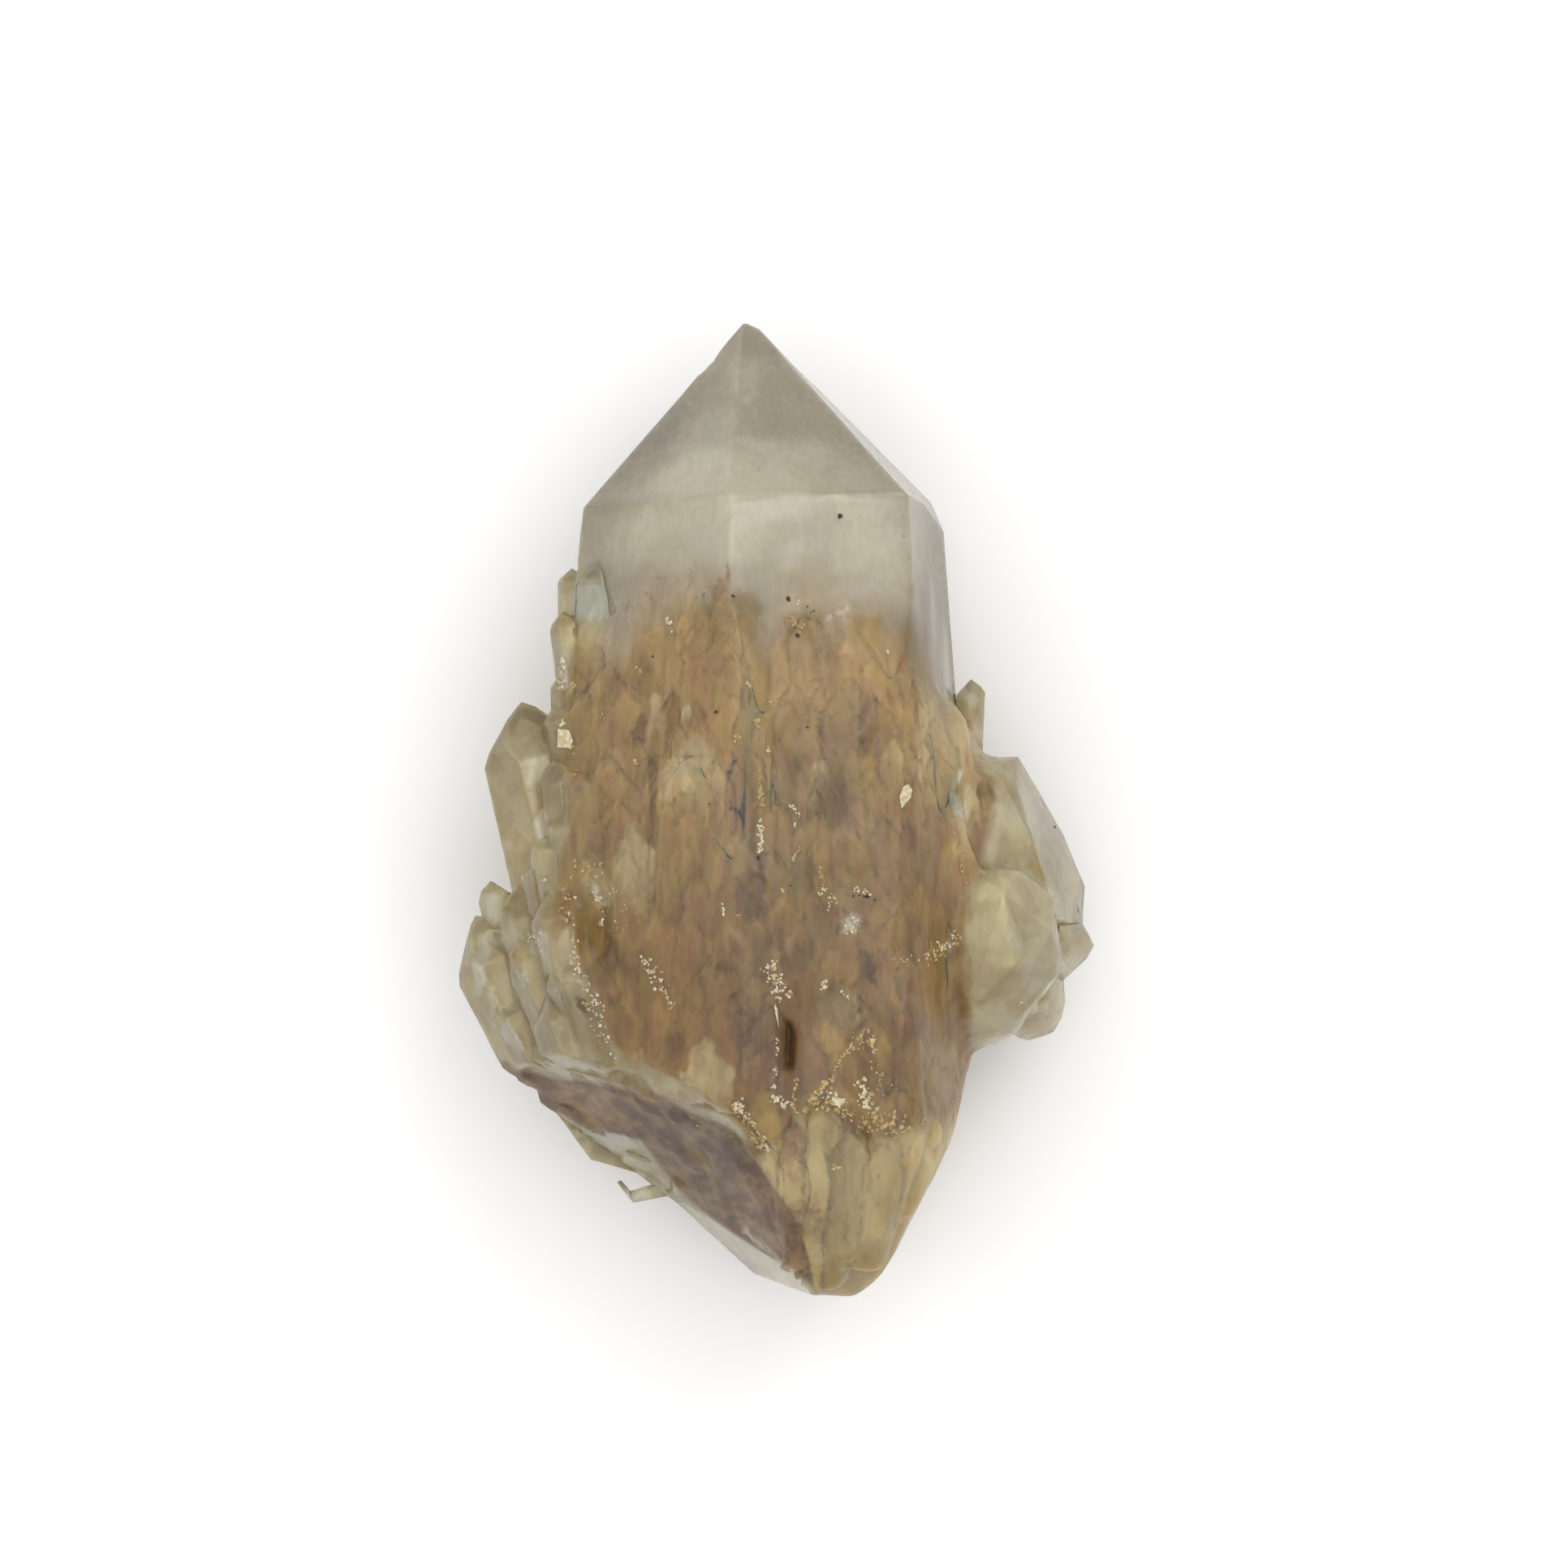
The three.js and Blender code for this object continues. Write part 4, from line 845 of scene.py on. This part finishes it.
def face_numbers(mesh, name):
    numbers = np.empty(len(mesh.polygons), np.int32)
    mesh.attributes[name].data.foreach_get("value", numbers)
    return numbers


def wear(mesh):
    """Moves the surface a little along its normals: small crystals on the crust, lumps on the break."""
    points = coordinates(mesh)
    crust, part = zones(points)
    rocky = part["broken"]
    crusty = crust * (1 - rocky) * (1 - 0.7 * part["pale"])
    large = shingles(points, LARGE_SHINGLE, 21)
    small = shingles(points, SMALL_SHINGLE, 22)
    moved = LARGE_RELIEF * large["stands"] * smooth_step(0, 0.5, large["inside"])
    moved += SMALL_RELIEF * small["stands"] * smooth_step(0, 0.6, small["inside"])
    moved += GRAIN_RELIEF * rough_field(points, (1.4 * MM, 4.5 * MM, 1.4 * MM), 11)
    moved *= crusty
    moved += PALE_RELIEF * (1 - crusty) * field(points, (6 * MM, 2.5 * MM, 6 * MM), 12)
    moved += LUMP_RELIEF * rocky * rough_field(points, (5 * MM, 4 * MM, 13 * MM), 13, 2)
    points += moved[:, None] * normals(mesh)
    place_vertices(mesh, np.clip(points, np.array(cad_box[0]), np.array(cad_box[1])))


def set_looks(mesh, crystal_count, facet_count):
    """The values by which the material colours each place."""
    points = coordinates(mesh)
    rise = normals(mesh)[:, 2]
    front = smooth_step(0.1, 0.35, rise) * smooth_step(8 * MM, 12 * MM, points[:, 2])
    steep = smooth_step(-0.05, 0.1, rise)
    large = shingles(points, LARGE_SHINGLE, 21)
    small = shingles(points, SMALL_SHINGLE, 22)
    crust, looks = zones(points)
    stepped = STEPPED_SHARE * crust * (1 - looks["pale"])
    for name, marks in MARKS.items():
        pointed = name in POINTED_MARKS
        share = (1 - stepped) * marked(points, marks, pointed)
        share += stepped * marked(small["middle"], marks, pointed)
        looks[name] = share * (steep if name == "flank_shade" else front)
    for name, lines in LINES.items():
        looks[name] = lined(points, lines) * front
    # Painted shade along the tip's outline
    looks["rim_shade"] = rim_shade(points)
    looks["height"] = np.clip(cavity(mesh) / MM, -1, 1)
    # Painted shade on the thin edges of the pale glassy crystals
    looks["thin"] = thinness(mesh)
    looks["large_tone"] = large["tone"]
    looks["small_tone"] = small["tone"]
    # Near the crust's crystal tips: an iron stain, and painted light
    looks["cap_stain_and_light"] = smooth_step(1.1, 0.1, large["below"])
    # Along the crust's crystal outlines, where painted shade goes between the crystals
    looks["outline"] = smooth_step(0.35, 0, large["inside"]) + 0.6 * smooth_step(0.4, 0, small["inside"])
    for name, values in looks.items():
        set_values(mesh, name, values)
    chance = np.random.RandomState(4)
    crystal_tones = chance.uniform(-1, 1, crystal_count + 1)
    # Painted light and shade, at random for each facet, used on the pale crystals
    facet_shadings = chance.uniform(-1, 1, facet_count + 1)
    set_values(mesh, "tone", crystal_tones[face_numbers(mesh, "crystal")], "FACE")
    set_values(mesh, "facet_shading", facet_shadings[face_numbers(mesh, "facet")], "FACE")


def make_cluster():
    form = body_form()
    even_out(form)
    crystal_layer = form.faces.layers.int.new("crystal")
    facet_layer = form.faces.layers.int.new("facet")
    crystal_count = number_faces(form, crystal_layer, is_within_crystal)
    facet_count = number_faces(form, facet_layer, is_within_facet)
    refine(form)
    mesh = bpy.data.meshes.new("quartz_cluster")
    form.to_mesh(mesh)
    form.free()
    cluster = add_object("quartz_cluster", mesh)

    points = coordinates(mesh)
    heights = points[:, 2]
    _, part = zones(points)
    here = np.stack(pixels_of(points), axis=1)
    rows = here[:, 1]
    upper = smooth_step(*UPPER_SIDE, heights)
    front = smooth_step(FRONT_HEIGHT - 2 * MM, FRONT_HEIGHT, heights)
    crusty = smooth_step(690, 740, rows) * (1 - part["pale"]) * (1 - 0.7 * part["broken"]) * front
    even = marked(points, EVEN_PLACES, False) * upper
    soften(mesh, marked(points, CLEFTS, False) * smooth_step(*CLEFT_SIDE, heights), CLEFT_ROUNDS)
    soften(mesh, even, EVEN_ROUNDS[0])
    iron(mesh, np.maximum(0.35 * crusty, even))
    soften(mesh, even, EVEN_ROUNDS[1])
    soften(mesh, crusty, CRUST_ROUNDS)
    for start, end in SOFT_RIDGES:
        near = smooth_step(70, 20, distance_from(here, start, end))
        soften(mesh, near * smooth_step(430, 480, rows) * upper, RIDGE_ROUNDS)
    wear(mesh)
    mesh.set_sharp_from_angle(angle=SHARP_ANGLE)
    set_looks(mesh, crystal_count, facet_count)

    mesh.materials.append(quartz_material())
    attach(cluster, "root")
    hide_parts("crystal_cluster")
    return cluster


# Materials


def linear(red, green, blue):
    """A colour as seen on a screen, from 0 to 255, as the shader's own numbers."""
    def one(value):
        value = value / 255
        return value / 12.92 if value <= 0.04045 else ((value + 0.055) / 1.055) ** 2.4

    return (one(red), one(green), one(blue), 1)


class Shading:
    """Short names for the nodes of one material."""

    def __init__(self, name):
        self.material = bpy.data.materials.new(name)
        self.material.use_nodes = True
        self.tree = self.material.node_tree
        self.shader = self.tree.nodes["Principled BSDF"]
        self.output = self.tree.nodes["Material Output"]
        place = self.tree.nodes.new("ShaderNodeTexCoord").outputs["Object"]
        self.place = self.vector("SCALE", place, 1 / MM)

    def plug(self, source, target):
        if isinstance(source, bpy.types.NodeSocket):
            self.tree.links.new(source, target)
        else:
            target.default_value = source

    def fill(self, node, inputs):
        for name, source in inputs.items():
            self.plug(source, node.inputs[name])
        return node

    def vector(self, operation, first, second):
        node = self.tree.nodes.new("ShaderNodeVectorMath")
        node.operation = operation
        second_input = "Scale" if operation == "SCALE" else 1
        return self.fill(node, {0: first, second_input: second}).outputs[0]

    def math(self, operation, first, second):
        node = self.tree.nodes.new("ShaderNodeMath")
        node.operation = operation
        return self.fill(node, {0: first, 1: second}).outputs[0]

    def dot(self, first, second):
        product = self.vector("DOT_PRODUCT", first, second)
        return product.node.outputs["Value"]

    def product(self, first, *others):
        for other in others:
            first = self.math("MULTIPLY", first, other)
        return first

    def total(self, first, *others):
        for other in others:
            first = self.math("ADD", first, other)
        return first

    def value(self, name):
        node = self.tree.nodes.new("ShaderNodeAttribute")
        node.attribute_name = name
        return node.outputs["Fac"]

    def noise(self, size, detail=3, roughness=0.5, stretch=(1, 1, 1), shift=0.0):
        """Noise about one half, with features of a size in millimetres, drawn out along x, y and z."""
        node = self.tree.nodes.new("ShaderNodeTexNoise")
        scaled = self.vector("MULTIPLY", self.place, tuple(1 / (size * s) for s in stretch))
        place = self.vector("ADD", scaled, (shift, shift, shift))
        inputs = {"Vector": place, "Scale": 1, "Detail": detail, "Roughness": roughness}
        return self.fill(node, inputs).outputs["Fac"]

    def ramp(self, value, low, high, to_low=0.0, to_high=1.0):
        node = self.tree.nodes.new("ShaderNodeMapRange")
        node.interpolation_type = "SMOOTHSTEP"
        inputs = {"Value": value, "From Min": low, "From Max": high, "To Min": to_low, "To Max": to_high}
        return self.fill(node, inputs).outputs["Result"]

    def mix(self, share, first, second, blend="MIX"):
        node = self.tree.nodes.new("ShaderNodeMix")
        node.data_type = "RGBA"
        node.blend_type = blend
        return self.fill(node, {"Factor": share, 6: first, 7: second}).outputs[2]

    def bump(self, height, strength, distance):
        node = self.tree.nodes.new("ShaderNodeBump")
        inputs = {"Height": height, "Strength": strength, "Distance": distance}
        return self.fill(node, inputs).outputs["Normal"]

    def line(self, name, noise):
        """The share of thin lines, with gaps made by noise."""
        return self.product(self.value(name), self.ramp(noise, 0.35, 0.6, 0.15, 0.9))

    def mark(self, name, noise, most):
        """The share of a mark, with its outline broken up by noise."""
        uneven = self.total(self.value(name), self.product(self.math("SUBTRACT", noise, 0.5), 0.9))
        return self.product(self.ramp(uneven, 0.2, 0.8, 0, most), self.ramp(self.value(name), 0.0, 0.12))


# Milky, and painted lighter by light that shines through
TIP_MILK_AND_GLOW = linear(228, 224, 204)
TIP_SMOKE = linear(211, 204, 182)
# Painted shade on the steep sides
FLANK_SHADE_TAN = linear(152, 134, 92)
PINK_BROWN = linear(164, 127, 87)
OLIVE_TAN = linear(157, 135, 80)
DEEP_BROWN = linear(134, 105, 64)
UPPER_TAN = linear(181, 149, 94)
IRON_YELLOW = linear(170, 142, 78)
RUST = linear(160, 122, 76)
MAUVE = linear(150, 115, 82)
DARK_BROWN = linear(108, 79, 46)
# Painted shade in the deep hollow
HOLLOW_SHADE_BROWN = linear(134, 100, 62)
CRUST_PALE = linear(188, 170, 128)
PALE_GREEN = linear(219, 210, 168)
PALE_SMOKE = linear(198, 183, 140)
PALE_SHADE = linear(166, 152, 122)
# Painted highlight on glassy faces
ICE_HIGHLIGHT = linear(222, 221, 204)
BREAK_PURPLE = linear(100, 75, 53)
BREAK_PINK = linear(140, 115, 86)
FOOT_TAN = linear(173, 149, 99)
FOOT_PALE = linear(190, 174, 128)
# Pale strokes: scratches and painted glints
STROKE_PALE = linear(226, 222, 206)
STROKE_DARK = linear(168, 158, 134)
STROKE_RUST = linear(192, 166, 124)
# Painted shade in the creases
CREASE_SHADE_BROWN = linear(96, 70, 46)
QUARTZ_IOR = 1.544
MILKY_SHARE = 0.35  # of transmission in the crust and the break
CLEAR_SHARE = 0.62  # of transmission in the tip and the pale crystals
SCATTER_RADIUS = (1, 0.8, 0.6)
SCATTER_DEPTH = 3 * MM
ABSORPTION_COLOUR = (0.86, 0.8, 0.66, 1)
ABSORPTION_DENSITY = 12
# What the lower crust's and the left pale crystals' colours are multiplied by
LOW_TONE = (0.85, 0.74, 0.6, 1)
LEFT_TONE = (0.93, 0.92, 0.9, 1)
# The marks under and over the iron stain, painted shade in the hollow and painted highlights among the upper
# ones: their greatest share and their colour
LOWER_PAINTS = [("light", 0.75, CRUST_PALE), ("mauve", 0.7, MAUVE), ("dark", 0.75, DARK_BROWN)]
UPPER_PAINTS = [
    ("yellow", 0.75, IRON_YELLOW), ("rust", 0.8, RUST), ("hollow_shade", 1.0, HOLLOW_SHADE_BROWN), ("ice_highlight", 0.8, ICE_HIGHLIGHT),
]
# By how much a value of 1 lightens a place on the crust, on the pale crystals and anywhere, painted light
# and shade among them
# On the crust, painted light near the crystal tips
CRUST_SHADES = {"tone": 0.04, "large_tone": 0.13, "small_tone": 0.1, "cap_stain_and_light": 0.07}
# On the pale crystals, painted light and shade by facet and painted shade on thin edges
PALE_SHADES = {"facet_shading": 0.1, "thin": -0.12}
# Anywhere, painted shade along the tip's outline
SHADES = {"rim_shade": -0.22, "bright": 0.24, "dim": -0.23}


def quartz_colour(s, streak, mottle):
    """The colour of the cluster: its zones, then the marks, stains and thin lines on them, with painted
    shade, painted highlights and a painted glow among them.
    """
    broad = s.noise(6, 3, shift=3)
    patchy = s.noise(4, 3, stretch=(1, 2.5, 1), shift=41)
    edge_noise = s.noise(1.0, 3, 0.7, stretch=(1, 2, 1), shift=83)
    break_mottle = s.noise(2.4, 3, 0.6, stretch=(1.4, 1, 3), shift=53)
    foot_cloud = s.noise(6, 2, stretch=(1, 1.6, 1), shift=61)

    # The tip: smoky, or milky and painted lighter where light shines through
    cloud_and_glow = s.total(s.value("milk_and_glow"), s.product(s.math("SUBTRACT", broad, 0.5), 1.2))
    clear = s.mix(s.ramp(cloud_and_glow, 0.0, 0.9), TIP_SMOKE, TIP_MILK_AND_GLOW)
    clear = s.mix(s.line("seams", mottle), clear, STROKE_DARK)
    clear = s.mix(s.line("stains", mottle), clear, STROKE_RUST)
    # Painted shade on the steep right sides
    clear = s.mix(s.product(s.value("flank_shade"), 0.9), clear, FLANK_SHADE_TAN)
    crust = s.mix(s.ramp(streak, 0.35, 0.65), PINK_BROWN, OLIVE_TAN)
    crust = s.mix(s.ramp(patchy, 0.5, 0.7), crust, DEEP_BROWN)
    crust = s.mix(s.product(s.value("upper"), 0.85), crust, UPPER_TAN)
    crust = s.mix(s.value("low"), crust, LOW_TONE, "MULTIPLY")
    pale = s.mix(s.ramp(broad, 0.42, 0.6), PALE_GREEN, PALE_SMOKE)
    on_left = s.ramp(s.dot(s.place, (1, 0, 0)), 10, -10)
    pale = s.mix(on_left, pale, LEFT_TONE, "MULTIPLY")
    pale = s.mix(s.product(s.value("smoke"), 0.5), pale, PALE_SHADE)
    broken = s.mix(s.ramp(break_mottle, 0.4, 0.66), BREAK_PURPLE, BREAK_PINK)
    foot = s.mix(s.ramp(foot_cloud, 0.35, 0.68), FOOT_TAN, FOOT_PALE)

    colour = clear
    for name, zone in {"tint": crust, "pale": pale, "foot": foot, "broken": broken}.items():
        colour = s.mix(s.value(name), colour, zone)
    for name, most, paint in LOWER_PAINTS:
        colour = s.mix(s.mark(name, edge_noise, most), colour, paint)
    stains = s.ramp(patchy, 0.42, 0.6)
    capped = s.product(s.value("cap_stain_and_light"), s.value("tint"), stains, 0.3)
    colour = s.mix(capped, colour, IRON_YELLOW)
    creased = s.product(s.ramp(s.value("height"), 0.0, -0.3), s.value("tint"), stains, 0.5)
    colour = s.mix(creased, colour, IRON_YELLOW)
    for name, most, paint in UPPER_PAINTS:
        colour = s.mix(s.mark(name, edge_noise, most), colour, paint)
    # Painted shade in the creases between crystals
    colour = s.mix(s.line("crease_shade", mottle), colour, CREASE_SHADE_BROWN)
    # Pale scratches, and painted glints
    return s.mix(s.line("scratches_and_glints", mottle), colour, STROKE_PALE)


def quartz_shade(s, streak, mottle):
    """How light each place is against its zone's colour, with painted shade along rims, thin edges and
    crystal outlines and painted light on crystal tips and facets.
    """
    crusty = s.product(s.value("tint"), s.math("SUBTRACT", 1.0, s.value("pale")))
    return s.total(
        s.ramp(mottle, 0.2, 0.8, 0.93, 1.07),
        s.product(s.ramp(streak, 0.3, 0.7, -0.06, 0.06), crusty),
        # Painted shade between the crust's crystals, along their outlines
        s.product(s.value("outline"), crusty, s.ramp(mottle, 0.35, 0.65), -0.26),
        *[s.product(s.value(name), crusty, share) for name, share in CRUST_SHADES.items()],
        *[s.product(s.value(name), s.value("pale"), share) for name, share in PALE_SHADES.items()],
        *[s.product(s.value(name), share) for name, share in SHADES.items()],
    )


def quartz_material():
    s = Shading("quartz")
    streak = s.noise(1.2, 3, 0.6, stretch=(1, 6, 1), shift=11)
    mottle = s.noise(0.8, 3, 0.6, stretch=(1, 2, 1), shift=23)
    colour = s.vector("SCALE", quartz_colour(s, streak, mottle), quartz_shade(s, streak, mottle))
    milky = s.math("MAXIMUM", s.value("tint"), s.value("broken"))
    clear_share = s.math("MAXIMUM", s.math("SUBTRACT", 1.0, milky), s.value("pale"))
    s.fill(s.shader, {
        "Base Color": colour,
        "Transmission Weight": s.ramp(clear_share, 0, 1, MILKY_SHARE, CLEAR_SHARE),
        "Roughness": s.total(s.ramp(clear_share, 0, 1, 0.4, 0.16), s.product(s.value("broken"), 0.15)),
        "Subsurface Weight": 1,
        "Subsurface Radius": SCATTER_RADIUS,
        "Subsurface Scale": SCATTER_DEPTH,
        "IOR": QUARTZ_IOR,
    })
    volume = s.tree.nodes.new("ShaderNodeVolumeAbsorption")
    s.fill(volume, {"Color": ABSORPTION_COLOUR, "Density": ABSORPTION_DENSITY})
    s.plug(volume.outputs["Volume"], s.output.inputs["Volume"])
    return s.material


def clay_material(name, light, dark, shift):
    """Dry, grainy and opaque."""
    s = Shading(name)
    patches = s.noise(0.6, 3, 0.6, shift=shift)
    colour = s.mix(s.ramp(patches, 0.35, 0.65), dark, light)
    rough = s.bump(s.noise(0.15, 3, 0.6, shift=shift), 0.4, 0.05 * MM)
    s.fill(s.shader, {"Base Color": colour, "Roughness": 0.75, "Normal": rough})
    return s.material


# Grains that sit in the creases

GRAINS_PER_COUNT = 1.5
LEAST_RISE = 0.15  # of a surface on which a grain lies


def surface_at(tree, column, row):
    """The highest point of the cluster at a pixel, and the way out there."""
    x, y = seen_at(column, row)
    place, normal, _, _ = tree.ray_cast(Vector((x, y, 0.2)), Vector((0, 0, -1)))
    return place, normal


def add_grain(form, place, normal, size, chance):
    """One angular grain, half sunk."""
    upright = normal.to_track_quat("Z", "Y").to_matrix().to_4x4()
    turn = upright @ Matrix.Rotation(chance.uniform(0, math.tau), 4, "Z")
    scale = Matrix.Diagonal((size, size * chance.uniform(0.6, 1), size * chance.uniform(0.35, 0.6), 1))
    matrix = Matrix.Translation(place) @ turn @ scale
    made = bmesh.ops.create_icosphere(form, subdivisions=1, radius=1, matrix=matrix)
    for vertex in made["verts"]:
        vertex.co += Vector([chance.uniform(-0.22, 0.22) * size for _ in range(3)])


def add_piece(name, form, material):
    mesh = bpy.data.meshes.new(name)
    form.to_mesh(mesh)
    form.free()
    mesh.materials.append(material)
    piece = add_object(name, mesh)
    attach(piece, "root")


def make_grains(name, tree, routes, seed, material):
    """Grains strewn along the routes."""
    chance = random.Random(seed)
    form = bmesh.new()
    for column, row, end_column, end_row, spread, count, size in routes:
        for _ in range(round(GRAINS_PER_COUNT * count)):
            share = chance.random()
            across = column + share * (end_column - column) + spread * chance.gauss(0, 0.6)
            down = row + share * (end_row - row) + spread * chance.gauss(0, 0.6)
            place, normal = surface_at(tree, across, down)
            if place is not None and normal.z > LEAST_RISE:
                add_grain(form, place, normal, size * PIXEL * chance.uniform(0.25, 0.9), chance)
    add_piece(name, form, material)


def make_flakes(tree, material):
    """Thin pale flakes that stick to the crust, each with a raised middle."""
    form = bmesh.new()
    for outline, height in FLAKES:
        edge = []
        for column, row in outline:
            place, _ = surface_at(tree, column, row)
            edge.append(form.verts.new(place + Vector((0, 0, 0.25 * height))))
        middle = sum((v.co for v in edge), Vector()) / len(edge)
        top = form.verts.new(middle + Vector((0, 0, height)))
        bottom = form.verts.new(middle - Vector((0, 0, 2 * height)))
        for first, second in zip(edge, edge[1:] + edge[:1]):
            form.faces.new((second, first, top))
            form.faces.new((first, second, bottom))
    bmesh.ops.recalc_face_normals(form, faces=form.faces)
    add_piece("pale_flakes", form, material)


def make_clay(cluster):
    tree = surface_tree(cluster.data)
    white = clay_material("white_clay", linear(208, 199, 172), linear(180, 162, 124), 7)
    ochre = clay_material("ochre_clay", linear(186, 162, 112), linear(150, 122, 76), 9)
    dark = clay_material("dark_grain", linear(72, 58, 44), linear(48, 38, 28), 13)
    # White clay grains, some of them painted glints
    make_grains("white_clay", tree, WHITE_GRAINS_AND_GLINTS, 31, white)
    make_grains("ochre_clay", tree, OCHRE_GRAINS, 32, ochre)
    make_grains("dark_specks", tree, DARK_SPECKS, 33, dark)
    make_flakes(tree, white)


make_camera()
make_floor()
make_light()
make_clay(make_cluster())
